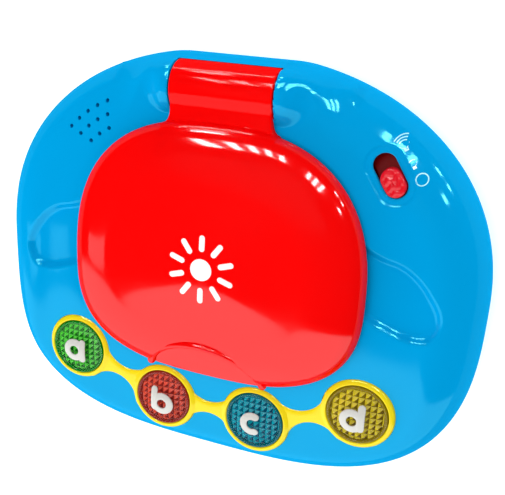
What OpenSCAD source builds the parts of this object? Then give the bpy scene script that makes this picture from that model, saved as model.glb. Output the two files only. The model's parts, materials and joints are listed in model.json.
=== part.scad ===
// Toy laptop computer: pebble-shaped body, hinged domed lid, four domed light-up buttons,
// a slide switch for off and two volumes, and a small keypad and mirror under the lid.
// X runs side to side, Y towards the hinge, Z up. The origin is under the middle of the body.

/* [Body] */
// Half of the overall width
body_half_w = 119; // [117:0.5:121]
// From the widest line to the front edge
body_front = 96; // [95:0.5:98]
// From the widest line to the back of the oval, before the back is cut flat
body_back = 98; // [97:0.5:99]
// From the widest line to the flat back wall
body_flat_back = 96; // [95.8:0.1:96.4]
// Squareness of the front half of the oval
body_front_power = 3; // [2.8:0.1:3.2]
// Squareness of the back half of the oval
body_back_power = 2.2; // [2.1:0.1:2.3]
// Height of the seam between the two shells
seam_z = 13.5; // [13:0.1:14]
// Height of the top face at the inner end of its rounded edge
deck_z = 34; // [33.8:0.1:34.2]
// Further rise of the top face towards the lid
deck_crown = 1; // [0.8:0.1:1]
// Width of the rounded top edge
edge_run = 24; // [23:0.5:25]
// Width of the rounded top edge at the front, in front of the buttons
front_edge_run = 14; // [13:0.5:16]
// Width of the rounded top edge behind the hinge
hinge_edge_run = 7; // [6.5:0.1:7.5]
// Width of the rounded bottom edge
foot_run = 9; // [8:0.5:10]
// Wall of both body shells
body_wall = 2.2; // [2:0.1:2.4]

/* [Lid] */
// Half of the lid's width
lid_half_w = 70; // [69:0.5:71]
// From the body's widest line to the lid's front edge
lid_front = 49.5; // [49:0.1:50]
// From the body's widest line to the back of the lid's oval
lid_back = 69.5; // [69:0.1:70]
// Height of the lid's lower edge
lid_edge_z = 36.2; // [36.1:0.1:36.5]
// Rise of the lid's rounded shoulder
lid_rise = 13.3; // [13:0.1:14]
// Width of the lid's rounded shoulder
lid_shoulder = 26; // [25:0.5:26]
// Crown of the lid's top above its shoulder
lid_crown = 1; // [0.6:0.1:1.2]
// Wall of the lid's moulding
lid_wall = 2.4; // [2.2:0.1:2.6]
// Underside of the panel that closes the lid
lid_panel_z = 41; // [40.8:0.1:41.2]

/* [Hinge] */
// Height of the hinge axis
hinge_z = 27.6; // [27.5:0.1:27.8]
// Hinge axis from the body's widest line
hinge_y = 82.2; // [82:0.1:82.4]
// Radius of the lid's hinge barrel
barrel_r = 11.6; // [11.4:0.1:11.7]
// Half of the width of the lid's neck
neck_half_w = 23.4; // [22:0.1:24]
// Radius of the steel hinge pin
pin_r = 1.5; // [1.2:0.1:2]
// How far each knuckle reaches beside the neck
knuckle_len = 14; // [13:0.5:15]

/* [Buttons] */
// Outer pair: distance from the middle line
outer_button_x = 71.8; // [71:0.1:72.5]
// Outer pair: distance in front of the widest line
outer_button_y = 52.1; // [51.5:0.1:52.5]
// Inner pair: distance from the middle line
inner_button_x = 23.9; // [23.5:0.1:24.5]
// Inner pair: distance in front of the widest line
inner_button_y = 68.3; // [68:0.1:68.5]
// Radius of a button cap
cap_r = 14; // [13.8:0.1:14.2]
// Height of the bezel's inner rim
rim_z = 36; // [35.8:0.1:36.1]
// Rise of a cap's dome above the rim
cap_dome = 3.8; // [3:0.1:4.2]
// Travel of a button
button_travel = 1.7; // [1.2:0.1:1.7]
// Outer radius of a bezel ring
ring_r = 16.9; // [16.7:0.1:17.1]

/* [Switch] */
// Middle of the slot, sideways
switch_x = 73.4; // [73:0.1:74]
// Middle of the slot, towards the hinge
switch_y = 56.4; // [56:0.1:57]
// Turn of the slot from straight back, in degrees
switch_turn = 34; // [32:1:35]
// Length of the slot
slot_len = 19.4; // [19:0.1:20]
// Width of the slot
slot_w = 9.8; // [9.6:0.1:10]
// Travel of the knob from off to loud
switch_travel = 6; // [5.6:0.1:6]

/* [Keypad] */
// Width of one key
key_w = 28; // [27:0.5:28]
// Depth of one key
key_d = 24; // [23:0.5:24]
// Spacing of the keys, side to side
key_pitch_x = 36; // [35:0.5:37]
// Spacing of the keys, front to back
key_pitch_y = 32; // [31:0.5:33]
// Travel of a key
key_travel = 1.8; // [1.2:0.1:1.8]

/* [Power] */
// Radius of a battery
battery_r = 7.1; // [7:0.05:7.2]
// Length of a battery
battery_len = 50; // [49.5:0.5:50.5]

/* [Hidden] */

ring_points = 64;
edge_steps = 8;
fine = 96;
medium = 48;
small = 24;

// Ovals as [half width, front, back, front power, back power, flat back]
body_oval = [body_half_w, body_front, body_back, body_front_power, body_back_power, body_flat_back];
lid_oval = [lid_half_w, lid_front, lid_back, 2.7, 2.5, 200];

board_z = 19.2;
board_t = 1.6;
board_top = board_z + board_t;
seat_z = 25;
seat_t = 2;
seat_hole_r = cap_r + 0.3;
well_r = ring_r + 1.9;
scoop_depth = 1.2;
bridge_z = 33;
deck_top = deck_z + deck_crown;
notch_r = barrel_r + 0.5;
notch_half_w = neck_half_w + 0.5;
knuckle_wall = 3;
post_r = 4.5;
button_at = [
    [-outer_button_x, -outer_button_y],
    [-inner_button_x, -inner_button_y],
    [inner_button_x, -inner_button_y],
    [outer_button_x, -outer_button_y]
];
button_colors = ["green", "firebrick", "teal", "olive"];
keypad_y = 8;
key_at = [for (row = [1, -1], column = [-1, 0, 1]) [column * key_pitch_x, keypad_y + row * key_pitch_y / 2]];
key_colors = ["gold", "orangered", "limegreen", "limegreen", "gold", "orangered"];
case_screw_at = [[47.8, -80], [98, -25], [100, 25], [45, 76]];
board_screw_at = [[-45, -28], [45, -28], [-40, 52], [40, 52]];
lid_screw_at = [[-50, 18], [50, 18], [-42, -26], [42, -26]];
speaker_at = [-63.7, 62.3];
grille_centre = [-34.3, 22.3];
battery_z = 10;
battery_pitch = 15.4;
battery_y = 24;
bay_w = 60;
bay_d = 50;
bay_top = 18.8;
door_t = 1.2;

// ---- ovals and lofts ----

function sign_of(v) = v < 0 ? -1 : 1;
function oval_power(oval, a) = sin(a) < 0 ? oval[3] : oval[4];
function oval_depth(oval, a) = sin(a) < 0 ? oval[1] : oval[2];
function oval_reach(oval, a) =
    let (n = oval_power(oval, a))
    pow(pow(abs(cos(a)) / oval[0], n) + pow(abs(sin(a)) / oval_depth(oval, a), n), -1 / n);
function oval_slope(oval, a) =
    let (n = oval_power(oval, a), r = oval_reach(oval, a), h = oval_depth(oval, a))
    [
        sign_of(cos(a)) * pow(r * abs(cos(a)) / oval[0], n - 1) / oval[0],
        sign_of(sin(a)) * pow(r * abs(sin(a)) / h, n - 1) / h
    ];
// The point at angle a, moved inwards by d square to the edge
function oval_point(oval, a, d) =
    let (r = oval_reach(oval, a), g = oval_slope(oval, a), p = r * [cos(a), sin(a)] - d * g / norm(g))
    [p[0], min(p[1], oval[5] - d)];
function oval_ring(oval, d, z) =
    [for (i = [0 : ring_points - 1]) let (p = oval_point(oval, 360 * i / ring_points, d)) [p[0], p[1], z]];
function oval_outline(oval, d) =
    [for (i = [0 : ring_points - 1]) oval_point(oval, 360 * i / ring_points, d)];

// One step round a quarter ellipse: [inset, height], moved inwards by t square to the curve
function edge_step(run, rise, a, t) =
    let (c = cos(a) / run, s = sin(a) / rise, l = norm([c, s]))
    [run * (1 - cos(a)) + t * c / l, rise * sin(a) - t * s / l];

// The body's top edge is rounded less in front and behind the hinge than at the sides
function smooth(v) = let (u = max(0, min(1, v))) u * u * (3 - 2 * u);
function top_run(a) =
    let (p = oval_point(body_oval, a, 0))
    p[1] < 0 ? front_edge_run + (edge_run - front_edge_run) * smooth((p[1] + 70) / 60)
        : hinge_edge_run + (edge_run - hinge_edge_run) * smooth((abs(p[0]) - 34) / 22);
function top_edge_ring(a_edge, t, z0) =
    [for (i = [0 : ring_points - 1])
        let (
            a = 360 * i / ring_points,
            e = edge_step(top_run(a), deck_z - seam_z, a_edge, t),
            p = oval_point(body_oval, a, e[0])
        )
        [p[0], p[1], z0 + e[1]]];

function loft_faces(rows) =
    concat(
        [[for (j = [0 : ring_points - 1]) j]],
        [for (i = [0 : rows - 2], j = [0 : ring_points - 1], half = [0, 1])
            let (
                k = (j + 1) % ring_points,
                a = i * ring_points + j,
                b = i * ring_points + k,
                c = (i + 1) * ring_points + k,
                d = (i + 1) * ring_points + j
            )
            half == 0 ? [a, d, c] : [a, c, b]],
        [[for (j = [ring_points - 1 : -1 : 0]) (rows - 1) * ring_points + j]]
    );

module loft(rings) {
    polyhedron(points = [for (r = rings) each r], faces = loft_faces(len(rings)), convexity = 4);
}

// ---- small shared shapes ----

module mirrored() {
    children();
    mirror([1, 0, 0]) children();
}

module at_each(places) {
    for (p = places) translate([p[0], p[1], 0]) children();
}

module tube(r_out, r_in, h) {
    difference() {
        cylinder(r = r_out, h = h, $fn = fine);
        translate([0, 0, -1]) cylinder(r = r_in, h = h + 2, $fn = fine);
    }
}

module obround(length, width, h) {
    reach = (length - width) / 2;
    for (side = [-1, 1]) translate([0, side * reach, 0]) cylinder(r = width / 2, h = h, $fn = medium);
    translate([-width / 2, -reach, 0]) cube([width, 2 * reach, h]);
}

module rounded_plate(w, d, h, r) {
    for (sx = [-1, 1], sy = [-1, 1])
        translate([sx * (w / 2 - r), sy * (d / 2 - r), 0]) cylinder(r = r, h = h, $fn = medium);
    translate([-w / 2 + r, -d / 2, 0]) cube([w - 2 * r, d, h]);
    translate([-w / 2, -d / 2 + r, 0]) cube([w, d - 2 * r, h]);
}

// Self-tapping screw, head down at z = 0
module screw(head_r, shaft_r, length) {
    difference() {
        union() {
            cylinder(r = head_r, h = 1.6, $fn = small);
            cylinder(r = shaft_r, h = length, $fn = small);
        }
        for (turn = [0, 90]) rotate([0, 0, turn]) translate([-0.4, -1.3, -0.1]) cube([0.8, 2.6, 0.9]);
    }
}

// ---- body shells ----

module body_top_solid(t) {
    steps = [for (i = [0 : edge_steps]) 90 * i / edge_steps];
    low = t > 0 ? [[for (p = top_edge_ring(0, t, seam_z)) [p[0], p[1], seam_z - 1]]] : [];
    loft(concat(
        low,
        [for (a = steps) top_edge_ring(a, t, seam_z + (t > 0 ? 0 : 0.1 * cos(a)))],
        [oval_ring(body_oval, edge_run + 3, deck_z + 0.15 - t), oval_ring(body_oval, 46, deck_top - t)]
    ));
}

module body_bottom_solid(t, top) {
    steps = [for (i = [5 : -1 : 0]) 90 * i / 5];
    loft(concat(
        [for (a = steps)
            let (e = edge_step(foot_run, seam_z - 0.1, a, t)) oval_ring(body_oval, e[0], seam_z - 0.1 - e[1])],
        top > seam_z ? [oval_ring(body_oval, t, top)] : []
    ));
}

module seam_band(d_out, d_in, z, h) {
    translate([0, 0, z]) difference() {
        linear_extrude(h) polygon(oval_outline(body_oval, d_out));
        translate([0, 0, -1]) linear_extrude(h + 2) polygon(oval_outline(body_oval, d_in));
    }
}

module case_screw_places() {
    mirrored() at_each(case_screw_at) children();
}

module base_bottom_shell() {
    color("deepskyblue") {
        difference() {
            union() {
                difference() {
                    body_bottom_solid(0, 0);
                    body_bottom_solid(body_wall, seam_z + 1);
                }
                // stepped lip that locates the upper shell
                seam_band(1.4, 3.7, seam_z - 3, 2.9);
                seam_band(2.6, 3.7, seam_z - 1, 2.9);
                translate([0, 0, 1]) case_screw_places() cylinder(r = post_r, h = 11, $fn = small);
                translate([0, 0, 1]) at_each(board_screw_at) cylinder(r = 3.2, h = board_z - 1, $fn = small);
                switch_board_posts();
                battery_bay_walls();
            }
            case_screw_places() {
                translate([0, 0, -1]) cylinder(r = 3.6, h = 8, $fn = small);
                cylinder(r = 1.7, h = 20, $fn = small);
            }
            at_each(board_screw_at) translate([0, 0, 12]) cylinder(r = 1.1, h = 12, $fn = small);
            battery_bay_space();
        }
    }
}

module switch_board_posts() {
    for (side = [-1, 1])
        switch_frame() translate([0, side * 12, 1]) cylinder(r = 2.6, h = 14.3, $fn = small);
}

module battery_bay_walls() {
    wall = 1.8;
    translate([-bay_w / 2 - wall, battery_y - bay_d / 2 - wall, 1])
        cube([bay_w + 2 * wall, bay_d + 2 * wall, bay_top - 1]);
    // boss for the door's screw
    translate([0, battery_y - bay_d / 2 - 5, 1]) cylinder(r = 4, h = 11, $fn = small);
}

module battery_bay_space() {
    translate([-bay_w / 2, battery_y - bay_d / 2, -1]) cube([bay_w, bay_d, bay_top]);
    // rebate that the door drops into, with its screw tab and hook slots
    translate([0, battery_y, -1]) rounded_plate(bay_w + 4, bay_d + 4, 1 + door_t + 0.3, 2);
    translate([0, battery_y - bay_d / 2 - 5, -1]) cylinder(r = 6.3, h = 1 + door_t + 0.3, $fn = medium);
    translate([0, battery_y - bay_d / 2 - 5, -1]) cylinder(r = 1.2, h = 11, $fn = small);
    for (side = [-1, 1])
        translate([side * 16 - 4.2, battery_y + bay_d / 2 - 1, 1.5]) cube([8.4, 3.2, 2.2]);
}

module base_top_shell() {
    color("deepskyblue") difference() {
        union() {
            difference() {
                union() {
                    body_top_solid(0);
                    mirrored() knuckle(barrel_r, 6, 0, knuckle_len);
                }
                body_top_solid(body_wall);
                mirrored() knuckle(barrel_r - body_wall, 4, knuckle_wall, knuckle_len - knuckle_wall - body_wall);
            }
            intersection() {
                body_top_solid(0.9);
                inner_ribs();
            }
            mirrored() translate([notch_half_w, 0, 0]) hinge_frame()
                cylinder(r = barrel_r, h = knuckle_wall + 0.1, $fn = fine);
        }
        hinge_notch();
        for (b = button_at) translate([b[0], b[1], 0]) {
            translate([0, 0, seat_z + seat_t]) cylinder(r = ring_r + 0.15, h = 20, $fn = fine);
            translate([0, 0, seat_z - 1]) cylinder(r = seat_hole_r, h = 20, $fn = fine);
        }
        for (i = [0 : 2]) bezel_bridge(i, bridge_z - 0.1, 10, 0.15);
        switch_frame() translate([0, 0, 24]) obround(slot_len, slot_w, 16);
        grille_holes();
        translate([0, keypad_y, 30]) rounded_plate(108, 64, 10, 10);
        difference() {
            mirrored() side_scoop();
            body_top_solid(scoop_depth);
        }
        case_screw_places() translate([0, 0, 10]) cylinder(r = 1.2, h = 14, $fn = small);
    }
}

// Frame with its Z along the hinge axis, towards +X
module hinge_frame() {
    translate([0, hinge_y, hinge_z]) rotate([90, 0, 90]) children();
}

module knuckle(r, round_r, start, length) {
    translate([notch_half_w + start, 0, 0]) hinge_frame() rotate_extrude($fn = fine) {
        square([r - round_r, length]);
        square([r, length - round_r]);
        translate([r - round_r, length - round_r]) intersection() {
            circle(r = round_r, $fn = medium);
            square(round_r + 1);
        }
    }
}

module hinge_notch() {
    translate([-notch_half_w, 0, 0]) hinge_frame() cylinder(r = notch_r, h = 2 * notch_half_w, $fn = fine);
    translate([-neck_half_w - 12, 0, 0]) hinge_frame()
        cylinder(r = pin_r + 0.02, h = 2 * (neck_half_w + 12), $fn = small);
}

// Everything moulded inside the upper shell, later trimmed to its skin
module inner_ribs() {
    // trough under the lid's barrel, with its end walls
    translate([-notch_half_w - knuckle_wall, 0, 0]) hinge_frame() difference() {
        cylinder(r = notch_r + 1.8, h = 2 * (notch_half_w + knuckle_wall), $fn = fine);
        rotate([-90, 0, -90]) translate([-40, -40, 5]) cube([80, 80, 20]);
    }
    // button wells
    for (b = button_at) translate([b[0], b[1], seat_z])
        tube(well_r, seat_hole_r, 12);
    // guide wall round the switch slot
    switch_frame() translate([0, 0, 27]) obround(slot_len + 4, slot_w + 4, 10);
    // speaker ring
    translate([speaker_at[0], speaker_at[1], 19]) tube(15.9, 14.3, 16);
    // screw bosses
    case_screw_places() translate([0, 0, 12.1]) cylinder(r = post_r - 0.6, h = 24, $fn = small);
    // stiffening rails beside the key panel
    mirrored() translate([61, keypad_y - 34, 29]) cube([1.6, 68, 8]);
}

module switch_frame() {
    translate([switch_x, switch_y, 0]) rotate([0, 0, switch_turn]) children();
}

module grille_holes() {
    hole_pitch = 5.8;
    radii = [55, 49.3, 43.5];
    counts = [5, 4, 3];
    for (row = [0 : 2], i = [0 : counts[row] - 1]) {
        a = 126 + (i - (counts[row] - 1) / 2) * hole_pitch / radii[row] * 180 / PI;
        translate([grille_centre[0] + radii[row] * cos(a), grille_centre[1] + radii[row] * sin(a), 24])
            cylinder(r = 0.95, h = 14, $fn = small);
    }
}

// Shallow tongue-shaped recess beside the lid
module side_scoop() {
    translate([0, 0, 28]) linear_extrude(9) polygon([
        [60, 27], [68.5, 26.1], [76.6, 23.1], [83.2, 20.7], [90.5, 16.9], [94.6, 13.2], [97.7, 9.3], [100.4, 5.2],
        [101.6, 1.4], [102.1, -2.6], [101.6, -5.4], [100.2, -8], [97.6, -10.4], [94.6, -11.7], [91.3, -12],
        [84.5, -11.3], [77.4, -9.1], [60, -4]
    ]);
}

// ---- buttons ----

function bridge_mid(i) = (button_at[i] + button_at[i + 1]) / 2;
function bridge_turn(i) =
    let (v = button_at[i + 1] - button_at[i]) atan2(v[1], v[0]);

// Waisted bridge between two bezel rings, grown by "grow" all round
module bezel_bridge(i, z, h, grow) {
    half_len = norm(button_at[i + 1] - button_at[i]) / 2;
    waist = 3.2;
    fillet_r = 13.5;
    reach = 13.5;
    translate([bridge_mid(i)[0], bridge_mid(i)[1], z]) rotate([0, 0, bridge_turn(i)]) difference() {
        translate([-reach + 2, -reach + 4, 0]) cube([2 * reach - 4, 2 * reach - 8, h]);
        for (side = [-1, 1])
            translate([0, side * (fillet_r + waist), -1]) cylinder(r = fillet_r - grow, h = h + 2, $fn = fine);
        for (end = [-1, 1])
            translate([end * half_len, 0, -1]) cylinder(r = ring_r - 1, h = h + 2, $fn = fine);
    }
}

module button_bezel() {
    color("yellow") difference() {
        union() {
            for (b = button_at) translate([b[0], b[1], 0]) rotate_extrude($fn = fine) bezel_section();
            for (i = [0 : 2]) bezel_bridge(i, bridge_z, rim_z - 1.2 - bridge_z, 0);
        }
        for (b = button_at) translate([b[0], b[1], 20]) cylinder(r = seat_hole_r, h = 30, $fn = fine);
    }
}

// Half section of a bezel ring: a bevel falls outwards from the inner rim
module bezel_section() {
    polygon([
        [seat_hole_r, seat_z + seat_t + 0.05],
        [ring_r, seat_z + seat_t + 0.05],
        [ring_r, rim_z - 2.2],
        [ring_r - 0.5, rim_z - 1.3],
        [seat_hole_r + 1.4, rim_z - 0.2],
        [seat_hole_r + 0.7, rim_z],
        [seat_hole_r, rim_z - 0.3]
    ]);
}

// Arc of a dome of height h over radius r, from its rim to its top
function dome_arc(r, h, z, steps) =
    let (ball = (r * r + h * h) / (2 * h), spread = asin(r / ball))
    [for (i = [0 : steps]) let (a = spread * (1 - i / steps)) [ball * sin(a), z + h - ball * (1 - cos(a))]];

// Clear domed cap with a skirt and a flange that stops it under the shell
module button_cap(i) {
    inner_r = cap_r - 1.6;
    flange_z = seat_z - 1.6;
    translate([button_at[i][0], button_at[i][1], 0]) color(button_colors[i], 0.6) rotate_extrude($fn = fine)
        polygon(concat(
            [[cap_r, flange_z + 1.4], [cap_r, rim_z + 0.2]],
            dome_arc(cap_r - 0.4, cap_dome - 0.4, rim_z + 0.4, 10),
            [[0, rim_z + 1.6], [inner_r, rim_z + 0.1], [inner_r, flange_z], [cap_r + 1.7, flange_z],
                [cap_r + 1.7, flange_z + 1.4]]
        ));
}

// Faceted reflector disc under the cap: crossed V-grooves leave a grid of pyramids
module button_prism(i) {
    groove_pitch = 2;
    groove_depth = 0.8;
    disc_r = cap_r - 1.7;
    grooves = floor(disc_r / groove_pitch);
    color(button_colors[i]) translate([button_at[i][0], button_at[i][1], rim_z - 2]) difference() {
        cylinder(r = disc_r, h = 2, $fn = fine);
        for (turn = [0, 90], k = [-grooves : grooves])
            rotate([0, 0, turn]) translate([0, k * groove_pitch, 2]) rotate([45, 0, 0])
                cube([2 * disc_r + 2, groove_depth * sqrt(2), groove_depth * sqrt(2)], center = true);
    }
}

module contact_ring(i) {
    color("dimgray") translate([button_at[i][0], button_at[i][1], board_top + button_travel + 0.1])
        tube(cap_r + 1.4, cap_r - 1.2, 0.8);
}

module button_leds() {
    color("white") at_each(button_at) translate([0, 0, board_top]) rotate_extrude($fn = small) {
        square([2.9, 1]);
        square([2.5, 5]);
        translate([0, 5]) intersection() {
            circle(r = 2.5, $fn = small);
            square(3);
        }
    }
}

// ---- switch ----

module power_switch_knob() {
    knob_top = 34.6;
    knob_bottom = 27;
    dome = 1.4;
    knob_w = slot_w - 0.8;
    reach = (slot_len - switch_travel - 1 - knob_w) / 2;
    half_section = concat([[0, 0]], dome_arc(knob_w / 2, dome, 0, 8));
    color("red") switch_frame() translate([0, -switch_travel / 2, 0]) difference() {
        union() {
            translate([0, 0, knob_bottom]) obround(knob_w + 2 * reach, knob_w, knob_top - dome - knob_bottom);
            translate([0, 0, knob_top - dome]) {
                for (side = [-1, 1]) translate([0, side * reach, 0]) rotate_extrude($fn = medium) polygon(half_section);
                rotate([90, 0, 0]) translate([0, 0, -reach]) linear_extrude(2 * reach) {
                    polygon(half_section);
                    mirror([1, 0]) polygon(half_section);
                }
            }
            translate([-1.3, -1.7, 20.8]) cube([2.6, 3.4, 7]);
        }
        for (k = [-2 : 2]) translate([-knob_w / 2, k * 2.1 - 0.35, knob_top - 0.7]) cube([knob_w, 0.7, 2]);
    }
}

module switch_guide_plate() {
    color("darkred") switch_frame() difference() {
        translate([0, 0, 25.2]) obround(slot_len + 4, slot_w + 3, 1.3);
        translate([0, 0, 24]) obround(switch_travel + 5.4, 3, 4);
    }
}

module slide_switch_body() {
    color("silver") switch_frame() difference() {
        translate([-4, -11, 17]) cube([8, 22, 4.6]);
        translate([-1.8, -8, 20.2]) cube([3.6, 16, 3]);
    }
}

module switch_board() {
    color("darkgreen") switch_frame() difference() {
        translate([-8, -15, 15.4]) cube([16, 30, 1.5]);
        for (side = [-1, 1]) translate([0, side * 12, 14]) cylinder(r = 1.1, h = 4, $fn = small);
    }
}

// ---- electronics ----

module main_circuit_board() {
    color("green") difference() {
        union() {
            translate([-60, -50, board_z]) cube([120, 106, board_t]);
            for (b = button_at) translate([b[0], b[1], board_z]) cylinder(r = 19, h = board_t, $fn = medium);
        }
        at_each(board_screw_at) translate([0, 0, board_z - 1]) cylinder(r = 1.7, h = 5, $fn = small);
        translate([speaker_at[0], speaker_at[1], board_z - 1]) cylinder(r = 19, h = 5, $fn = medium);
        case_screw_places() translate([0, 0, board_z - 1]) cylinder(r = 6, h = 5, $fn = small);
        switch_frame() translate([-13, -19, board_z - 1]) cube([26, 38, 5]);
    }
}

module board_screws() {
    color("silver") at_each(board_screw_at) translate([0, 0, board_top + 1.7]) mirror([0, 0, 1]) screw(2.4, 1.05, 9);
}

module sound_chip() {
    color("black") translate([0, -38, board_top]) rotate_extrude($fn = medium)
        polygon(concat([[0, 0]], dome_arc(7, 1.6, 0, 6)));
}

module speaker_frame() {
    color("dimgray") translate([speaker_at[0], speaker_at[1], 0]) rotate_extrude($fn = fine)
        polygon([[0, 18.5], [8.5, 18.5], [13.2, 22.6], [14.1, 22.6], [14.1, 24], [12.8, 24], [4, 20.6], [0, 21.4]]);
}

module speaker_magnet() {
    color("silver") translate([speaker_at[0], speaker_at[1], 12.4]) cylinder(r = 8.4, h = 6.1, $fn = medium);
}

// ---- power ----

module battery(i) {
    flip = i == 1 ? 180 : 0;
    color("darkorange") translate([0, battery_y + (i - 1) * battery_pitch, battery_z]) rotate([0, 90, flip]) {
        translate([0, 0, -battery_len / 2]) cylinder(r = battery_r, h = battery_len - 1.4, $fn = medium);
        cylinder(r = 2.7, h = battery_len / 2, $fn = small);
    }
}

module battery_contacts() {
    gap = (bay_w - battery_len) / 2;
    color("silver") for (i = [0 : 2]) {
        end = i == 1 ? -1 : 1;
        y = battery_y + (i - 1) * battery_pitch;
        // flat plate at the cap end, coned spring at the other end
        translate([end * (bay_w / 2 - 0.3), y, battery_z]) cube([0.6, 10, 10], center = true);
        translate([end * (bay_w / 2 - 0.6), y, battery_z]) rotate([0, -90 * end, 0])
            cylinder(r = 2.2, h = gap - 0.6, $fn = small);
        translate([-end * (bay_w / 2 - 0.3), y, battery_z]) cube([0.6, 10, 10], center = true);
        translate([-end * (bay_w / 2 - 0.6), y, battery_z]) rotate([0, 90 * end, 0]) rotate_extrude($fn = medium)
            for (turn = [0 : 3]) translate([4.6 - 0.7 * turn, 0.45 + turn * (gap - 1.5) / 3]) circle(r = 0.45, $fn = 16);
    }
}

module battery_door() {
    gap = 0.3;
    screw_y = battery_y - bay_d / 2 - 5;
    color("deepskyblue") difference() {
        union() {
            translate([0, battery_y, 0]) rounded_plate(bay_w + 4 - 2 * gap, bay_d + 4 - 2 * gap, door_t, 2);
            translate([0, screw_y, 0]) cylinder(r = 6, h = door_t, $fn = medium);
            // hooks that tuck under the far edge
            for (side = [-1, 1]) {
                translate([side * 16 - 3.8, battery_y + bay_d / 2 - 3, 0.5]) cube([7.6, 2.4, 3]);
                translate([side * 16 - 3.8, battery_y + bay_d / 2 - 1, 1.9]) cube([7.6, 2.8, 1.3]);
            }
        }
        translate([0, screw_y, -1]) cylinder(r = 1.6, h = 6, $fn = small);
        translate([0, screw_y, -1]) cylinder(r = 3.3, h = 1.75, $fn = small);
        // thumb grooves
        for (k = [0 : 4]) translate([-9, battery_y - 18 + 3 * k, -0.3]) cube([18, 1.2, 0.8]);
    }
}

module battery_door_screw() {
    color("silver") translate([0, battery_y - bay_d / 2 - 5, 0.1]) difference() {
        union() {
            cylinder(r = 3, h = 0.6, $fn = small);
            cylinder(r = 1.15, h = 8, $fn = small);
        }
        for (turn = [0, 90]) rotate([0, 0, turn]) translate([-0.4, -1.6, -0.1]) cube([0.8, 3.2, 0.45]);
    }
}

module case_screws() {
    color("silver") case_screw_places() translate([0, 0, 5.4]) screw(3, 1.15, 14);
}

// ---- keypad ----

module key_deck() {
    color("white") difference() {
        union() {
            translate([0, keypad_y, deck_top + 0.05]) rounded_plate(116, 72, 1.5, 14);
            translate([0, keypad_y, 32.6]) rounded_plate(107.6, 63.6, 3, 9.8);
        }
        for (k = key_at) translate([k[0], k[1], 30]) rounded_plate(key_w + 0.6, key_d + 0.6, 10, 5);
    }
}

module key(i) {
    top = 39.4;
    color(key_colors[i]) translate([key_at[i][0], key_at[i][1], 0]) difference() {
        union() {
            translate([0, 0, 30.8]) rounded_plate(key_w, key_d, top - 1 - 30.8, 4.7);
            hull() {
                translate([0, 0, top - 1.2]) rounded_plate(key_w, key_d, 0.2, 4.7);
                translate([0, 0, top - 0.4]) rounded_plate(key_w - 0.8, key_d - 0.8, 0.1, 4.3);
                translate([0, 0, top - 0.1]) rounded_plate(key_w - 2.2, key_d - 2.2, 0.1, 3.6);
            }
            translate([0, 0, 30.8]) rounded_plate(key_w + 3, key_d + 3, 1.4, 5);
        }
        difference() {
            translate([0, 0, 29]) rounded_plate(key_w - 3, key_d - 3, top - 1.6 - 29, 3.2);
            cylinder(r = 3, h = 50, $fn = medium);
            translate([-key_w / 2, -0.7, 27]) cube([key_w, 1.4, 20]);
            translate([-0.7, -key_d / 2, 27]) cube([1.4, key_d, 20]);
        }
    }
    color(key_colors[i]) translate([key_at[i][0], key_at[i][1], board_top + 0.8 + key_travel + 0.1])
        cylinder(r = 3, h = 31 - (board_top + 0.9 + key_travel), $fn = medium);
}

module key_membrane() {
    color("gray") translate([0, keypad_y, board_top]) difference() {
        rounded_plate(104, 58, 0.8, 6);
        for (k = key_at) translate([k[0], k[1] - keypad_y + 9, -1]) cylinder(r = 1, h = 3, $fn = small);
    }
}

// ---- lid ----

module lid_solid(t) {
    steps = [for (i = [0 : edge_steps]) 90 * i / edge_steps];
    low = t > 1 ? [oval_ring(lid_oval, t, lid_edge_z - 1)] : [];
    crown_scale = 0.55;
    crown_d = edge_step(lid_shoulder, lid_rise, 90, t)[0];
    loft(concat(
        low,
        [for (a = steps) let (e = edge_step(lid_shoulder, lid_rise, a, t)) oval_ring(lid_oval, e[0], lid_edge_z + e[1])],
        [[for (p = oval_ring(lid_oval, crown_d, 0))
            [p[0] * crown_scale, p[1] * crown_scale, lid_edge_z + lid_rise + lid_crown - t]]]
    ));
}

// Frame of the flat thumb face: Y up its slope, Z square to it
tab_slope = 28.5;
tab_r = 29.8;
module tab_frame() {
    translate([0, -50, lid_edge_z + 1.6]) rotate([tab_slope, 0, 0]) translate([0, -6.6, 0]) children();
}

module lid_outer_shell() {
    color("red") difference() {
        union() {
            difference() {
                lid_solid(0);
                lid_solid(lid_wall);
            }
            intersection() {
                lid_solid(0.8);
                union() {
                    // backing of the thumb face
                    tab_frame() translate([0, 0, -2.4]) cylinder(r = tab_r + 1.6, h = 4, $fn = fine);
                    at_each(lid_screw_at) translate([0, 0, lid_panel_z + 2.05]) cylinder(r = 3.4, h = 9, $fn = small);
                    translate([-neck_half_w, 60.5, lid_edge_z - 0.5]) cube([2 * neck_half_w, 6, 4.4]);
                }
            }
            lid_neck();
            tab_ridge();
        }
        tab_frame() cylinder(r = tab_r, h = 30, $fn = fine);
        at_each(lid_screw_at) translate([0, 0, lid_panel_z]) cylinder(r = 1.1, h = 6, $fn = small);
        translate([-neck_half_w - 1, 0, 0]) hinge_frame()
            cylinder(r = pin_r + 0.06, h = 2 * neck_half_w + 2, $fn = medium);
    }
}

module lid_neck() {
    translate([-neck_half_w, 0, 0]) hinge_frame() cylinder(r = barrel_r, h = 2 * neck_half_w, $fn = fine);
    translate([-neck_half_w, 60.5, 34.9]) cube([2 * neck_half_w, 17, 2.6]);
}

// Raised line round the upper side of the thumb face
module tab_ridge() {
    spread = 70;
    tab_frame() rotate([0, 0, 90 - spread]) rotate_extrude(angle = 2 * spread, $fn = fine)
        translate([tab_r + 0.6, 0]) circle(r = 1.3, $fn = small);
}

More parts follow.
